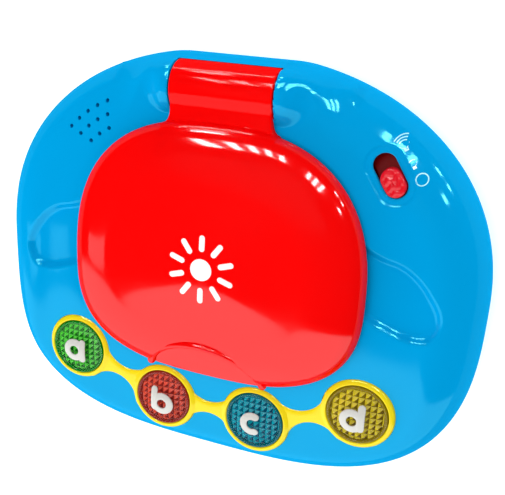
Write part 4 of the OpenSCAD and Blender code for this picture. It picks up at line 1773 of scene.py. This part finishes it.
@dataclass
class PowerSwitch:
    """The red knob and its dust shield, its slot's rolled edge, and the marks printed beside it.

    Attributes:
        half_width: half of the knob's width.
        reach: how far its round ends stand from its middle.
        top_z: height of its top.
        travel: how far it slides.
        shield_z: height of the dust shield's middle.
        groove_pitch: spacing of its finger grooves.
        groove_depth: their depth.
    """

    half_width: float = 4.5
    reach: float = 1.7
    top_z: float = 34.75
    travel: float = 6.0
    shield_z: float = 30.25
    groove_pitch: float = 3.0
    groove_depth: float = 0.5

    def outline(self, inset: float, count: int) -> list[Point]:
        """The knob's outline, inset by a distance, in its own directions.

        Args:
            inset: how far inside.
            count: points round it.

        Returns:
            The outline.
        """
        radius = self.half_width - inset
        points: list[Point] = []
        for i in range(count):
            a = math.tau * i / count
            shift = self.reach * max(-1.0, min(1.0, 4 * math.sin(a)))
            points.append((radius * math.cos(a), radius * math.sin(a) + shift))
        return points

    def put_on_slot(self, piece: Piece) -> None:
        """Turn a piece made at the origin to the slot, at the near end of its travel.

        Args:
            piece: the piece.
        """
        for vert in piece.bm.verts:
            x, y = SWITCH.to_plan(vert.co.x, vert.co.y - self.travel / 2)
            vert.co = Vector((x, y, vert.co.z))

    def build_knob(self, finish: Material) -> None:
        """Make the knob: a domed oval with wavy finger grooves, and its stem.

        Args:
            finish: its material.
        """
        knob = Piece("power_knob")
        edge, crown = 0.9, 0.35
        levels = [(0.0, 27.0), (0.0, self.top_z - edge - crown)]
        levels += [
            (edge * (1 - math.cos(t)), self.top_z - crown - edge * (1 - math.sin(t)))
            for t in quarter_turns(6)[1:]
        ]
        span = self.half_width - edge
        levels += [(edge + span * k / 20, self.top_z - crown * (1 - k / 20) ** 2) for k in range(1, 20)]
        rings: list[Ring] = []
        for inset, z in levels:
            fade = smooth((inset - 0.5) / 1.1)
            ring: Ring = []
            for x, y in self.outline(inset, 120):
                wave = 0.5 + 0.5 * math.cos(math.tau * (y + 0.45 * math.sin(1.5 * x)) / self.groove_pitch)
                ring.append(Vector((x, y, z - self.groove_depth * wave**1.5 * fade)))
            rings.append(ring)
        knob.loft(rings, True, True)
        stem = Piece("stem")
        block = [(-1.3, -1.7), (1.3, -1.7), (1.3, 1.7), (-1.3, 1.7)]
        stem.loft([[Vector((*p, z)) for p in block] for z in (20.8, 27.8)], True, True)
        knob.combine(stem, "UNION")
        self.put_on_slot(knob)
        knob.finish("switch_knob", "red_knob", finish, ["power_switch_knob"])

    def build_shield(self, finish: Material) -> None:
        """Make the bowed strip that slides with the knob and closes the slot beside it.

        Args:
            finish: its material.
        """
        shield = Piece("power_knob_shield")
        length, half, bow, thick = 12.9, 4.7, 0.018, 0.6
        section = ((-half, 0), (half, 0), (half, -thick), (-half, -thick))
        rings: list[Ring] = []
        for i in range(33):
            y = length * (i / 16 - 1)
            z = self.shield_z - bow * y * y
            rings.append([Vector((x, y, z + up)) for x, up in section])
        shield.loft(rings, True, True)
        self.put_on_slot(shield)
        shield.finish("switch_knob", "dark_red_plate", finish)

    def build_slot_edge(self, finish: Material, skin: BVHTree) -> None:
        """Roll the slot's edge down into the shell.

        Args:
            finish: the shell's material.
            skin: the shell's outer skin.
        """
        edge = Piece("switch_slot_edge")
        roll = ((1.25, 0.06), (1.0, -0.015), (0.6, 0.03), (0.34, 0.12), (0.15, 0.27), (0.04, 0.45))
        underside = ((0.0, 0.7), (0.0, 1.3), (0.9, 1.3), (0.9, 1.1), (1.1, 0.7))
        rings: list[Ring] = []
        for grow, drop in (*roll, *underside):
            rings.append([laid(skin, x, y, -drop) for x, y in SWITCH.outline(grow, 40)])
        rings.append(rings[0])
        edge.loft(rings)
        edge.finish("base", "blue_shell", finish)

    def build_marks(self, ink: Material, skin: BVHTree) -> None:
        """Print the off ring and the two loudspeaker signs.

        Args:
            ink: their material.
            skin: the shell's outer skin.
        """
        marks = Piece("switch_printed_marks")
        off = (85.9, 56.5)
        self.add_band(marks, skin, off, 2.15, 2.6, 0, 360)
        for centre, size, waves in (((81.8, 61.6), 0.9, 1), ((77.3, 68.3), 1.1, 3)):
            turn = SWITCH.turn + 90
            horn = [(-1.6, -0.75), (-0.5, -0.75), (0.9, -1.9), (0.9, 1.9), (-0.5, 0.75), (-1.6, 0.75)]
            self.add_flat(marks, skin, [self.place(p, centre, size, turn) for p in horn])
            for i in range(waves):
                mouth = self.place((0.2, 0), centre, size, turn)
                inner, outer = size * (2.0 + i), size * (2.38 + i)
                self.add_band(marks, skin, mouth, inner, outer, turn - 38, turn + 38)
        marks.finish("base", "white_panel", ink)

    def place(self, point: Point, centre: Point, size: float, turn: float) -> Point:
        """A point of a sign in the plan."""
        x, y = turned(point, turn)
        return x * size + centre[0], y * size + centre[1]

    def add_flat(self, marks: Piece, skin: BVHTree, outline: Sequence[Point]) -> None:
        """Lay a small flat shape on the skin."""
        marks.loft([[laid(skin, x, y, lift) for x, y in outline] for lift in PRINT_LEVELS], True, True)

    def add_band(
        self, marks: Piece, skin: BVHTree, centre: Point, inner: float, outer: float, start: float, end: float
    ) -> None:
        """Lay part of a ring on the skin, from one angle to another in degrees.

        Args:
            marks: the piece that it is added to.
            skin: the skin.
            centre: middle of the ring.
            inner: its inner radius.
            outer: its outer radius.
            start: the first angle.
            end: the last angle.
        """
        steps = max(10, round(abs(end - start) / 6))
        full = abs(end - start) >= 360
        angles = [math.radians(start + (end - start) * i / steps) for i in range(steps + (0 if full else 1))]
        low, high = PRINT_LEVELS
        rings: list[Ring] = []
        for a in angles:
            ring: Ring = []
            for radius, lift in ((inner, low), (outer, low), (outer, high), (inner, high)):
                x, y = centre[0] + radius * math.cos(a), centre[1] + radius * math.sin(a)
                ring.append(laid(skin, x, y, lift))
            rings.append(ring)
        if full:
            rings.append(rings[0])
        marks.loft(rings, not full, not full)


@dataclass
class Keypad:
    """The six keys under the lid and the pale plate round them.

    Attributes:
        width: width of a key.
        depth: depth of a key.
        top_z: height of a key's top.
        pitch: spacing of the keys.
        centre_y: the keypad's middle.
        gap: how much wider than a key its hole is.
        plate: the plate's width and depth.
        plate_corner: radius of its corners.
    """

    width: float = 28.0
    depth: float = 24.0
    top_z: float = 39.4
    pitch: Point = (36.0, 32.0)
    centre_y: float = 8.0
    gap: float = 0.6
    plate: Point = (116.0, 72.0)
    plate_corner: float = 14.0

    def build(
        self, finishes: Sequence[Material], slots: Sequence[str], ink: Material, plate: Material
    ) -> None:
        """Make the keys, their numbers and the plate.

        Args:
            finishes: the keys' materials.
            slots: the record's slots of the keys.
            ink: the numbers' material.
            plate: the plate's material.
        """
        for i in range(6):
            column, row = i % 3 - 1, i // 3
            centre = (column * self.pitch[0], self.centre_y + (0.5 - row) * self.pitch[1])
            self.build_key(i + 1, centre, finishes[i], slots[i])
            self.build_number(i + 1, centre, ink)
        self.build_plate(plate)

    def build_key(self, number: int, centre: Point, finish: Material, slot: str) -> None:
        """Make one key: a round-cornered cap whose face is slightly hollow."""
        key = Piece(f"key_{number}_cap")
        rings: list[Ring] = []

        def ring(inset: float, z: float, corner: float) -> Ring:
            """One ring of the cap."""
            outline = rounded_plate_outline(self.width - 2 * inset, self.depth - 2 * inset, corner, 12)
            return [Vector((x + centre[0], y + centre[1], z)) for x, y in outline]

        top = self.top_z
        rings.append(ring(0.0, 31.0, 4.7))
        rings.append(ring(0.0, top - 1.6, 4.7))
        for t in quarter_turns(8)[1:]:
            share = 1 - math.cos(t)
            rings.append(ring(1.5 * share, top - 1.6 + 1.6 * math.sin(t), 4.7 - 1.2 * share))
        for inset in (2.2, 3.4, 4.8, 6.4, 8.2, 10.0):
            hollow = 0.55 * smooth((inset - 1.5) / 7.5)
            rings.append(ring(inset, top - hollow, max(3.5 - 0.25 * inset, 0.9)))
        key.loft(rings, True, True)
        key.finish(f"key_{number}_body", slot, finish, [f"key_{number}"])

    def build_number(self, number: int, centre: Point, ink: Material) -> None:
        """Print a key's number on its face.

        Args:
            number: the number.
            centre: the key's middle.
            ink: its material.
        """
        curve = bpy.data.curves.new("number", "FONT")
        curve.body, curve.size, curve.align_x, curve.align_y = str(number), 11, "CENTER", "CENTER"
        curve.offset, curve.extrude = 0.18, 0.1
        holder = bpy.data.objects.new("number", curve)
        bpy.context.scene.collection.objects.link(holder)
        made = bpy.data.meshes.new_from_object(holder.evaluated_get(bpy.context.evaluated_depsgraph_get()))
        bpy.data.objects.remove(holder)
        mark = Piece(f"key_{number}_number")
        mark.bm.from_mesh(made)
        bpy.data.meshes.remove(made)
        bmesh.ops.translate(mark.bm, verts=mark.bm.verts, vec=(centre[0], centre[1], self.top_z - 0.42))
        mark.finish(f"key_{number}_body", "white_panel", ink)

    def build_plate(self, finish: Material) -> None:
        """Make the plate round the keys, with soft edges.

        Args:
            finish: its material.
        """
        plate = Piece("keypad_plate")

        def ring(inset: float, z: float) -> Ring:
            """One ring of the plate."""
            width, depth = (side - 2 * inset for side in self.plate)
            outline = rounded_plate_outline(width, depth, self.plate_corner - inset, 14)
            return [Vector((x, y + self.centre_y, z)) for x, y in outline]

        levels = ((0, 35.05), (0, 35.9), (0.2, 36.3), (0.65, 36.55), (2, 36.55))
        plate.loft([ring(inset, z) for inset, z in levels], True, True)
        cut = Piece("cut")
        for i in range(6):
            x0, y0 = (i % 3 - 1) * self.pitch[0], self.centre_y + (0.5 - i // 3) * self.pitch[1]
            rings: list[Ring] = []
            for grow, z in ((0, 30), (0, 36.1), (0.15, 36.4), (0.5, 36.6), (0.9, 37)):
                width, depth = self.width + self.gap + 2 * grow, self.depth + self.gap + 2 * grow
                outline = rounded_plate_outline(width, depth, 5 + grow, 12)
                rings.append([Vector((x + x0, y + y0, z)) for x, y in outline])
            cut.loft(rings, True, True)
        plate.combine(cut, "DIFFERENCE")
        plate.finish("base", "white_panel", finish, ["key_deck"])


@dataclass
class Hardware:
    """The moulded and metal parts that keep their CAD solids, with soft edges where they show.

    Attributes:
        softened: the nodes that get rounded edges, with their body, slot and rounding.
    """

    softened: tuple[tuple[str, str, str, float], ...] = (
        ("battery_door", "base", "blue_shell", 0.3),
        ("battery_door_screw", "base", "steel", 0.08),
        ("case_screws", "base", "steel", 0.15),
        ("lid_screws", "lid", "steel", 0.12),
        ("lid_inner_panel", "lid", "white_panel", 0.3),
        ("lid_mirror", "lid", "mirror_face", 0.35),
        ("switch_guide_plate", "base", "dark_red_plate", 0.15),
    )

    def build(self, finishes: dict[str, Material]) -> None:
        """Round the edges of what shows, and dress every other CAD node.

        Args:
            finishes: the material of each of the record's slots.
        """
        for node, body, slot, width in self.softened:
            part = Piece(f"{node}_soft")
            part.take(node)
            part.soften(width)
            part.finish(body, slot, finishes[slot], [node])
        slots = {part["node"]: part["material_slot"] for part in frame["record"]["subparts"]}
        for name, node in frame["nodes"].items():
            if not node.hide_render:
                node.data.materials.clear()
                node.data.materials.append(finishes[slots[name]])


@dataclass
class Studio:
    """Soft plain light, a pale floor, and the camera.

    Attributes:
        eye: where the camera stands, in metres.
        right: the picture's right.
        up: the picture's up.
        lens: its lens, for a 36 mm sensor.
    """

    eye: tuple[float, float, float] = (0.1260, 0.1284, 0.33465)
    right: tuple[float, float, float] = (0.93167, 0.05762, -0.35872)
    up: tuple[float, float, float] = (-0.16969, 0.94204, -0.28942)
    lens: float = 54.96

    def build(self) -> None:
        """Place everything."""
        self.build_camera()
        self.build_floor()
        self.build_world()
        self.build_lamps()
        bpy.context.scene.view_settings.view_transform = "Standard"

    def build_camera(self) -> None:
        """Make the camera."""
        data = bpy.data.cameras.new("camera")
        data.lens, data.sensor_width, data.clip_start, data.clip_end = self.lens, 36, 0.01, 20
        camera = bpy.data.objects.new("camera", data)
        right, up = Vector(self.right).normalized(), Vector(self.up).normalized()
        back = right.cross(up)
        turn = Matrix((right, up, back)).transposed().to_4x4()
        camera.matrix_world = Matrix.Translation(self.eye) @ turn
        bpy.context.scene.collection.objects.link(camera)
        bpy.context.scene.camera = camera

    def build_floor(self) -> None:
        """Make the floor, which looks white and keeps the object's soft shadow."""
        bm = bmesh.new()
        bmesh.ops.create_grid(bm, x_segments=1, y_segments=1, size=3)
        mesh = bpy.data.meshes.new("floor")
        bm.to_mesh(mesh)
        bm.free()
        floor = bpy.data.objects.new("floor", mesh)
        floor.location.z = -0.0004
        bpy.context.scene.collection.objects.link(floor)
        sh = Shader("pale_floor")
        path = sh.node("LightPath")
        seen = path.outputs["Is Glossy Ray"]
        matte = sh.node("BsdfDiffuse", Color=(0.86, 0.86, 0.86, 1.0)).outputs[0]
        bounce = Value(path.outputs["Is Diffuse Ray"]) * 0.6 + 0.5
        glow = sh.node("Emission", Color=(1.0, 1.0, 1.0, 1.0), Strength=bounce).outputs[0]
        lit = sh.node("AddShader", s0=matte, s1=glow).outputs[0]
        dim = sh.node("BsdfDiffuse", Color=(0.35, 0.35, 0.35, 1.0)).outputs[0]
        mesh.materials.append(sh.done(sh.node("MixShader", s0=seen, s1=lit, s2=dim).outputs[0]))

    def build_world(self) -> None:
        """Make the world: white as a backdrop, gentle as a light."""
        world = bpy.data.worlds.new("studio")
        world.use_nodes = True
        bpy.context.scene.world = world
        tree = world.node_tree
        tree.nodes.clear()
        path = tree.nodes.new("ShaderNodeLightPath")
        shown = Value(path.outputs["Is Camera Ray"])
        mirrored = Value(path.outputs["Is Glossy Ray"]).larger(Value(path.outputs["Is Transmission Ray"]))
        where = tree.nodes.new("ShaderNodeTexCoord")
        split = tree.nodes.new("ShaderNodeSeparateXYZ")
        tree.links.new(where.outputs["Generated"], split.inputs[0])
        wall = 1.0 - (Value(split.outputs["X"]) * 0.12 + Value(split.outputs["Y"])).above(-0.462)
        other = 1.0 - shown.larger(mirrored)
        level = shown + (1.0 - shown) * mirrored * wall * 2.1 + other * 0.64
        sky = tree.nodes.new("ShaderNodeBackground")
        sky.inputs["Color"].default_value = (1.0, 1.0, 1.0, 1.0)
        tree.links.new(level.socket, sky.inputs["Strength"])
        out = tree.nodes.new("ShaderNodeOutputWorld")
        tree.links.new(sky.outputs[0], out.inputs["Surface"])

    def add_lamp(
        self, name: str, bearing: Point, spread: Point, glow: float, mirrored: bool, roll: float = 0
    ) -> None:
        """Hang a rectangular softbox 1.5 m away that faces the object.

        Args:
            name: its name.
            bearing: its direction from the object, as degrees round from the right and degrees up.
            spread: its width and height as the object sees them, in degrees.
            glow: its brightness, where 1 is white.
            mirrored: it shows in reflections alone, or else it lights alone.
            roll: how far it is turned about its own middle, in degrees.
        """
        away = 1.5
        data = bpy.data.lights.new(name, "AREA")
        data.shape, data.size, data.size_y = "RECTANGLE", *(away * math.radians(a) for a in spread)
        data.energy = glow * math.pi * data.size * data.size_y
        lamp = bpy.data.objects.new(name, data)
        lamp.visible_glossy = mirrored
        lamp.visible_diffuse = not mirrored
        round_by, up = (math.radians(a) for a in bearing)
        level = math.cos(up)
        direction = Vector((level * math.cos(round_by), level * math.sin(round_by), math.sin(up)))
        aim = direction.to_track_quat("Z", "Y").to_matrix().to_4x4()
        facing = aim @ Matrix.Rotation(math.radians(roll), 4, "Z")
        lamp.matrix_world = Matrix.Translation(direction * away) @ facing
        bpy.context.scene.collection.objects.link(lamp)

    def build_lamps(self) -> None:
        """Hang the softboxes: one broad overhead, and a row of window panes that gloss picks up."""
        self.add_lamp("overhead", (110, 78), (50, 40), 2.3, False)
        self.add_lamp("front_fill", (-125, 20), (70, 30), 3.0, False)
        broad = ((121, 40, 3, 12), (112, 40, 3, 12), (103, 39, 3, 12), (94, 38, 3, 12), (85, 38, 3, 12))
        narrow = ((62, 39, 2.4, 15), (55, 39, 2.4, 18), (48, 39, 2.4, 18))
        low = ((26, 31, 3.5, 6), (114, 13, 8, 6), (112, 4, 22, 3), (38, 12, 4, 4), (30, 12, 3, 4))
        for i, (bearing, up, width, height) in enumerate((*broad, *narrow, *low)):
            self.add_lamp(f"pane_{i}", (bearing, up), (width, height), 38, True)
        self.add_lamp("side_window", (-158.5, 33), (4.2, 25), 1.8, True, -16)


BLUE = GlossyPlastic(
    "blue_plastic", (0.0, 0.345, 0.73), (0.0, 0.32, 0.69), mirror_tint=(0.2, 1.0, 1.0), rim=0.12
)
RED = GlossyPlastic(
    "red_plastic", (0.93, 0.0012, 0.0012), (0.88, 0.001, 0.001), mirror_tint=(1.0, 0.95, 0.95), rim=0.1
)
NECK_RED = replace(RED, name="red_neck_plastic", mirror=0.008, rim=0.06)
YELLOW = GlossyPlastic(
    "yellow_plastic", (0.92, 0.75, 0.012), (0.88, 0.68, 0.01), 0.12, mirror_tint=(1.0, 1.0, 0.5)
)


def slot_finishes() -> dict[str, Material]:
    """The material of each of the record's slots.

    Returns:
        The materials, by slot.
    """
    knob, knob_shade = (0.8, 0.006, 0.02), (0.66, 0.004, 0.012)
    plate, plate_shade = (0.2, 0.0, 0.001), (0.12, 0.0, 0.0)
    kinds = {
        "blue_shell": BLUE,
        "red_lid": RED,
        "yellow_bezel": YELLOW,
        "red_knob": GlossyPlastic("red_knob_plastic", knob, knob_shade, 0.16, 0.03, rim=0.15),
        "dark_red_plate": GlossyPlastic("dark_red_plastic", plate, plate_shade, 0.35, 0.006, rim=0.1),
        "green_cap": GlossyPlastic("green_cap_plastic", (0.02, 0.4, 0.03), (0.01, 0.3, 0.02)),
        "brown_cap": GlossyPlastic("brown_cap_plastic", (0.4, 0.04, 0.02), (0.3, 0.03, 0.015)),
        "teal_cap": GlossyPlastic("teal_cap_plastic", (0.0, 0.25, 0.35), (0.0, 0.2, 0.28)),
        "olive_cap": GlossyPlastic("olive_cap_plastic", (0.5, 0.38, 0.01), (0.4, 0.3, 0.01)),
        "white_panel": GlossyPlastic("white_plastic", (0.86, 0.87, 0.88), (0.82, 0.83, 0.85), 0.2),
        "mirror_face": Metal("mirror_face", (0.92, 0.93, 0.95), 0.04, 0.0005),
        "key_yellow": GlossyPlastic("key_yellow_plastic", (0.95, 0.7, 0.02), (0.9, 0.64, 0.02), 0.2),
        "key_orange": GlossyPlastic("key_orange_plastic", (0.95, 0.16, 0.02), (0.9, 0.14, 0.02), 0.2),
        "key_green": GlossyPlastic("key_green_plastic", (0.12, 0.6, 0.05), (0.1, 0.54, 0.04), 0.2),
        "steel": Metal("screw_steel", (0.62, 0.63, 0.65), 0.28),
        "contact_metal": Metal("contact_plating", (0.75, 0.73, 0.68), 0.22),
        "board": CircuitBoard(),
        "black_plastic": MattePart("black_plastic", (0.02, 0.02, 0.022), 0.5),
        "grey_rubber": MattePart("grey_rubber", (0.25, 0.26, 0.27), 0.75),
        "led_resin": GlossyPlastic("lamp_resin", (0.85, 0.86, 0.88), (0.8, 0.82, 0.86), 0.08, 0.05),
        "battery_jacket": BatteryJacket(),
    }
    return {slot: kind.material() for slot, kind in kinds.items()}


def main() -> None:
    """Build the object and the studio."""
    logging.basicConfig(level=logging.INFO, format="%(name)s %(message)s")
    finishes = slot_finishes()
    blue, red = finishes["blue_shell"], finishes["red_lid"]
    letter_ink = Print("letter_inlay", (0.62, 0.62, 0.58)).material()
    badge_ink = Print("badge_print", (0.95, 0.95, 0.95)).material()
    mark_ink = Print("mark_print", (0.45, 0.95, 1.0)).material()
    shells = BodyShells()
    skin = shells.build_top(blue)
    shells.build_bottom(blue)
    ButtonBezel().build(finishes["yellow_bezel"])
    # Per button: the facets' painted highlight colour, their painted shade colour, then the rim's own colour.
    for button in (
        LightButton(Letter.A, (0.1, 0.75, 0.05), (0.0, 0.13, 0.005), (0.0, 0.24, 0.01), "green_cap"),
        LightButton(Letter.B, (0.8, 0.09, 0.04), (0.2, 0.012, 0.01), (0.3, 0.02, 0.01), "brown_cap"),
        LightButton(Letter.C, (0.0, 0.4, 0.5), (0.0, 0.07, 0.13), (0.0, 0.16, 0.2), "teal_cap"),
        LightButton(Letter.D, (0.72, 0.6, 0.02), (0.14, 0.09, 0.003), (0.3, 0.22, 0.005), "olive_cap"),
    ):
        button.build(letter_ink)
    lid = Lid()
    cover = lid.build_cover(red)
    lid.build_ridge(red)
    lid.build_neck(NECK_RED.material(), cover)
    lid.build_badge(badge_ink, cover)
    switch = PowerSwitch()
    switch.build_knob(finishes["red_knob"])
    switch.build_shield(finishes["dark_red_plate"])
    switch.build_slot_edge(blue, skin)
    switch.build_marks(mark_ink, skin)
    key_slots = ["key_yellow", "key_orange", "key_green", "key_green", "key_yellow", "key_orange"]
    Keypad().build([finishes[s] for s in key_slots], key_slots, badge_ink, finishes["white_panel"])
    Hardware().build(finishes)
    Studio().build()


if __name__ == "__main__":
    main()
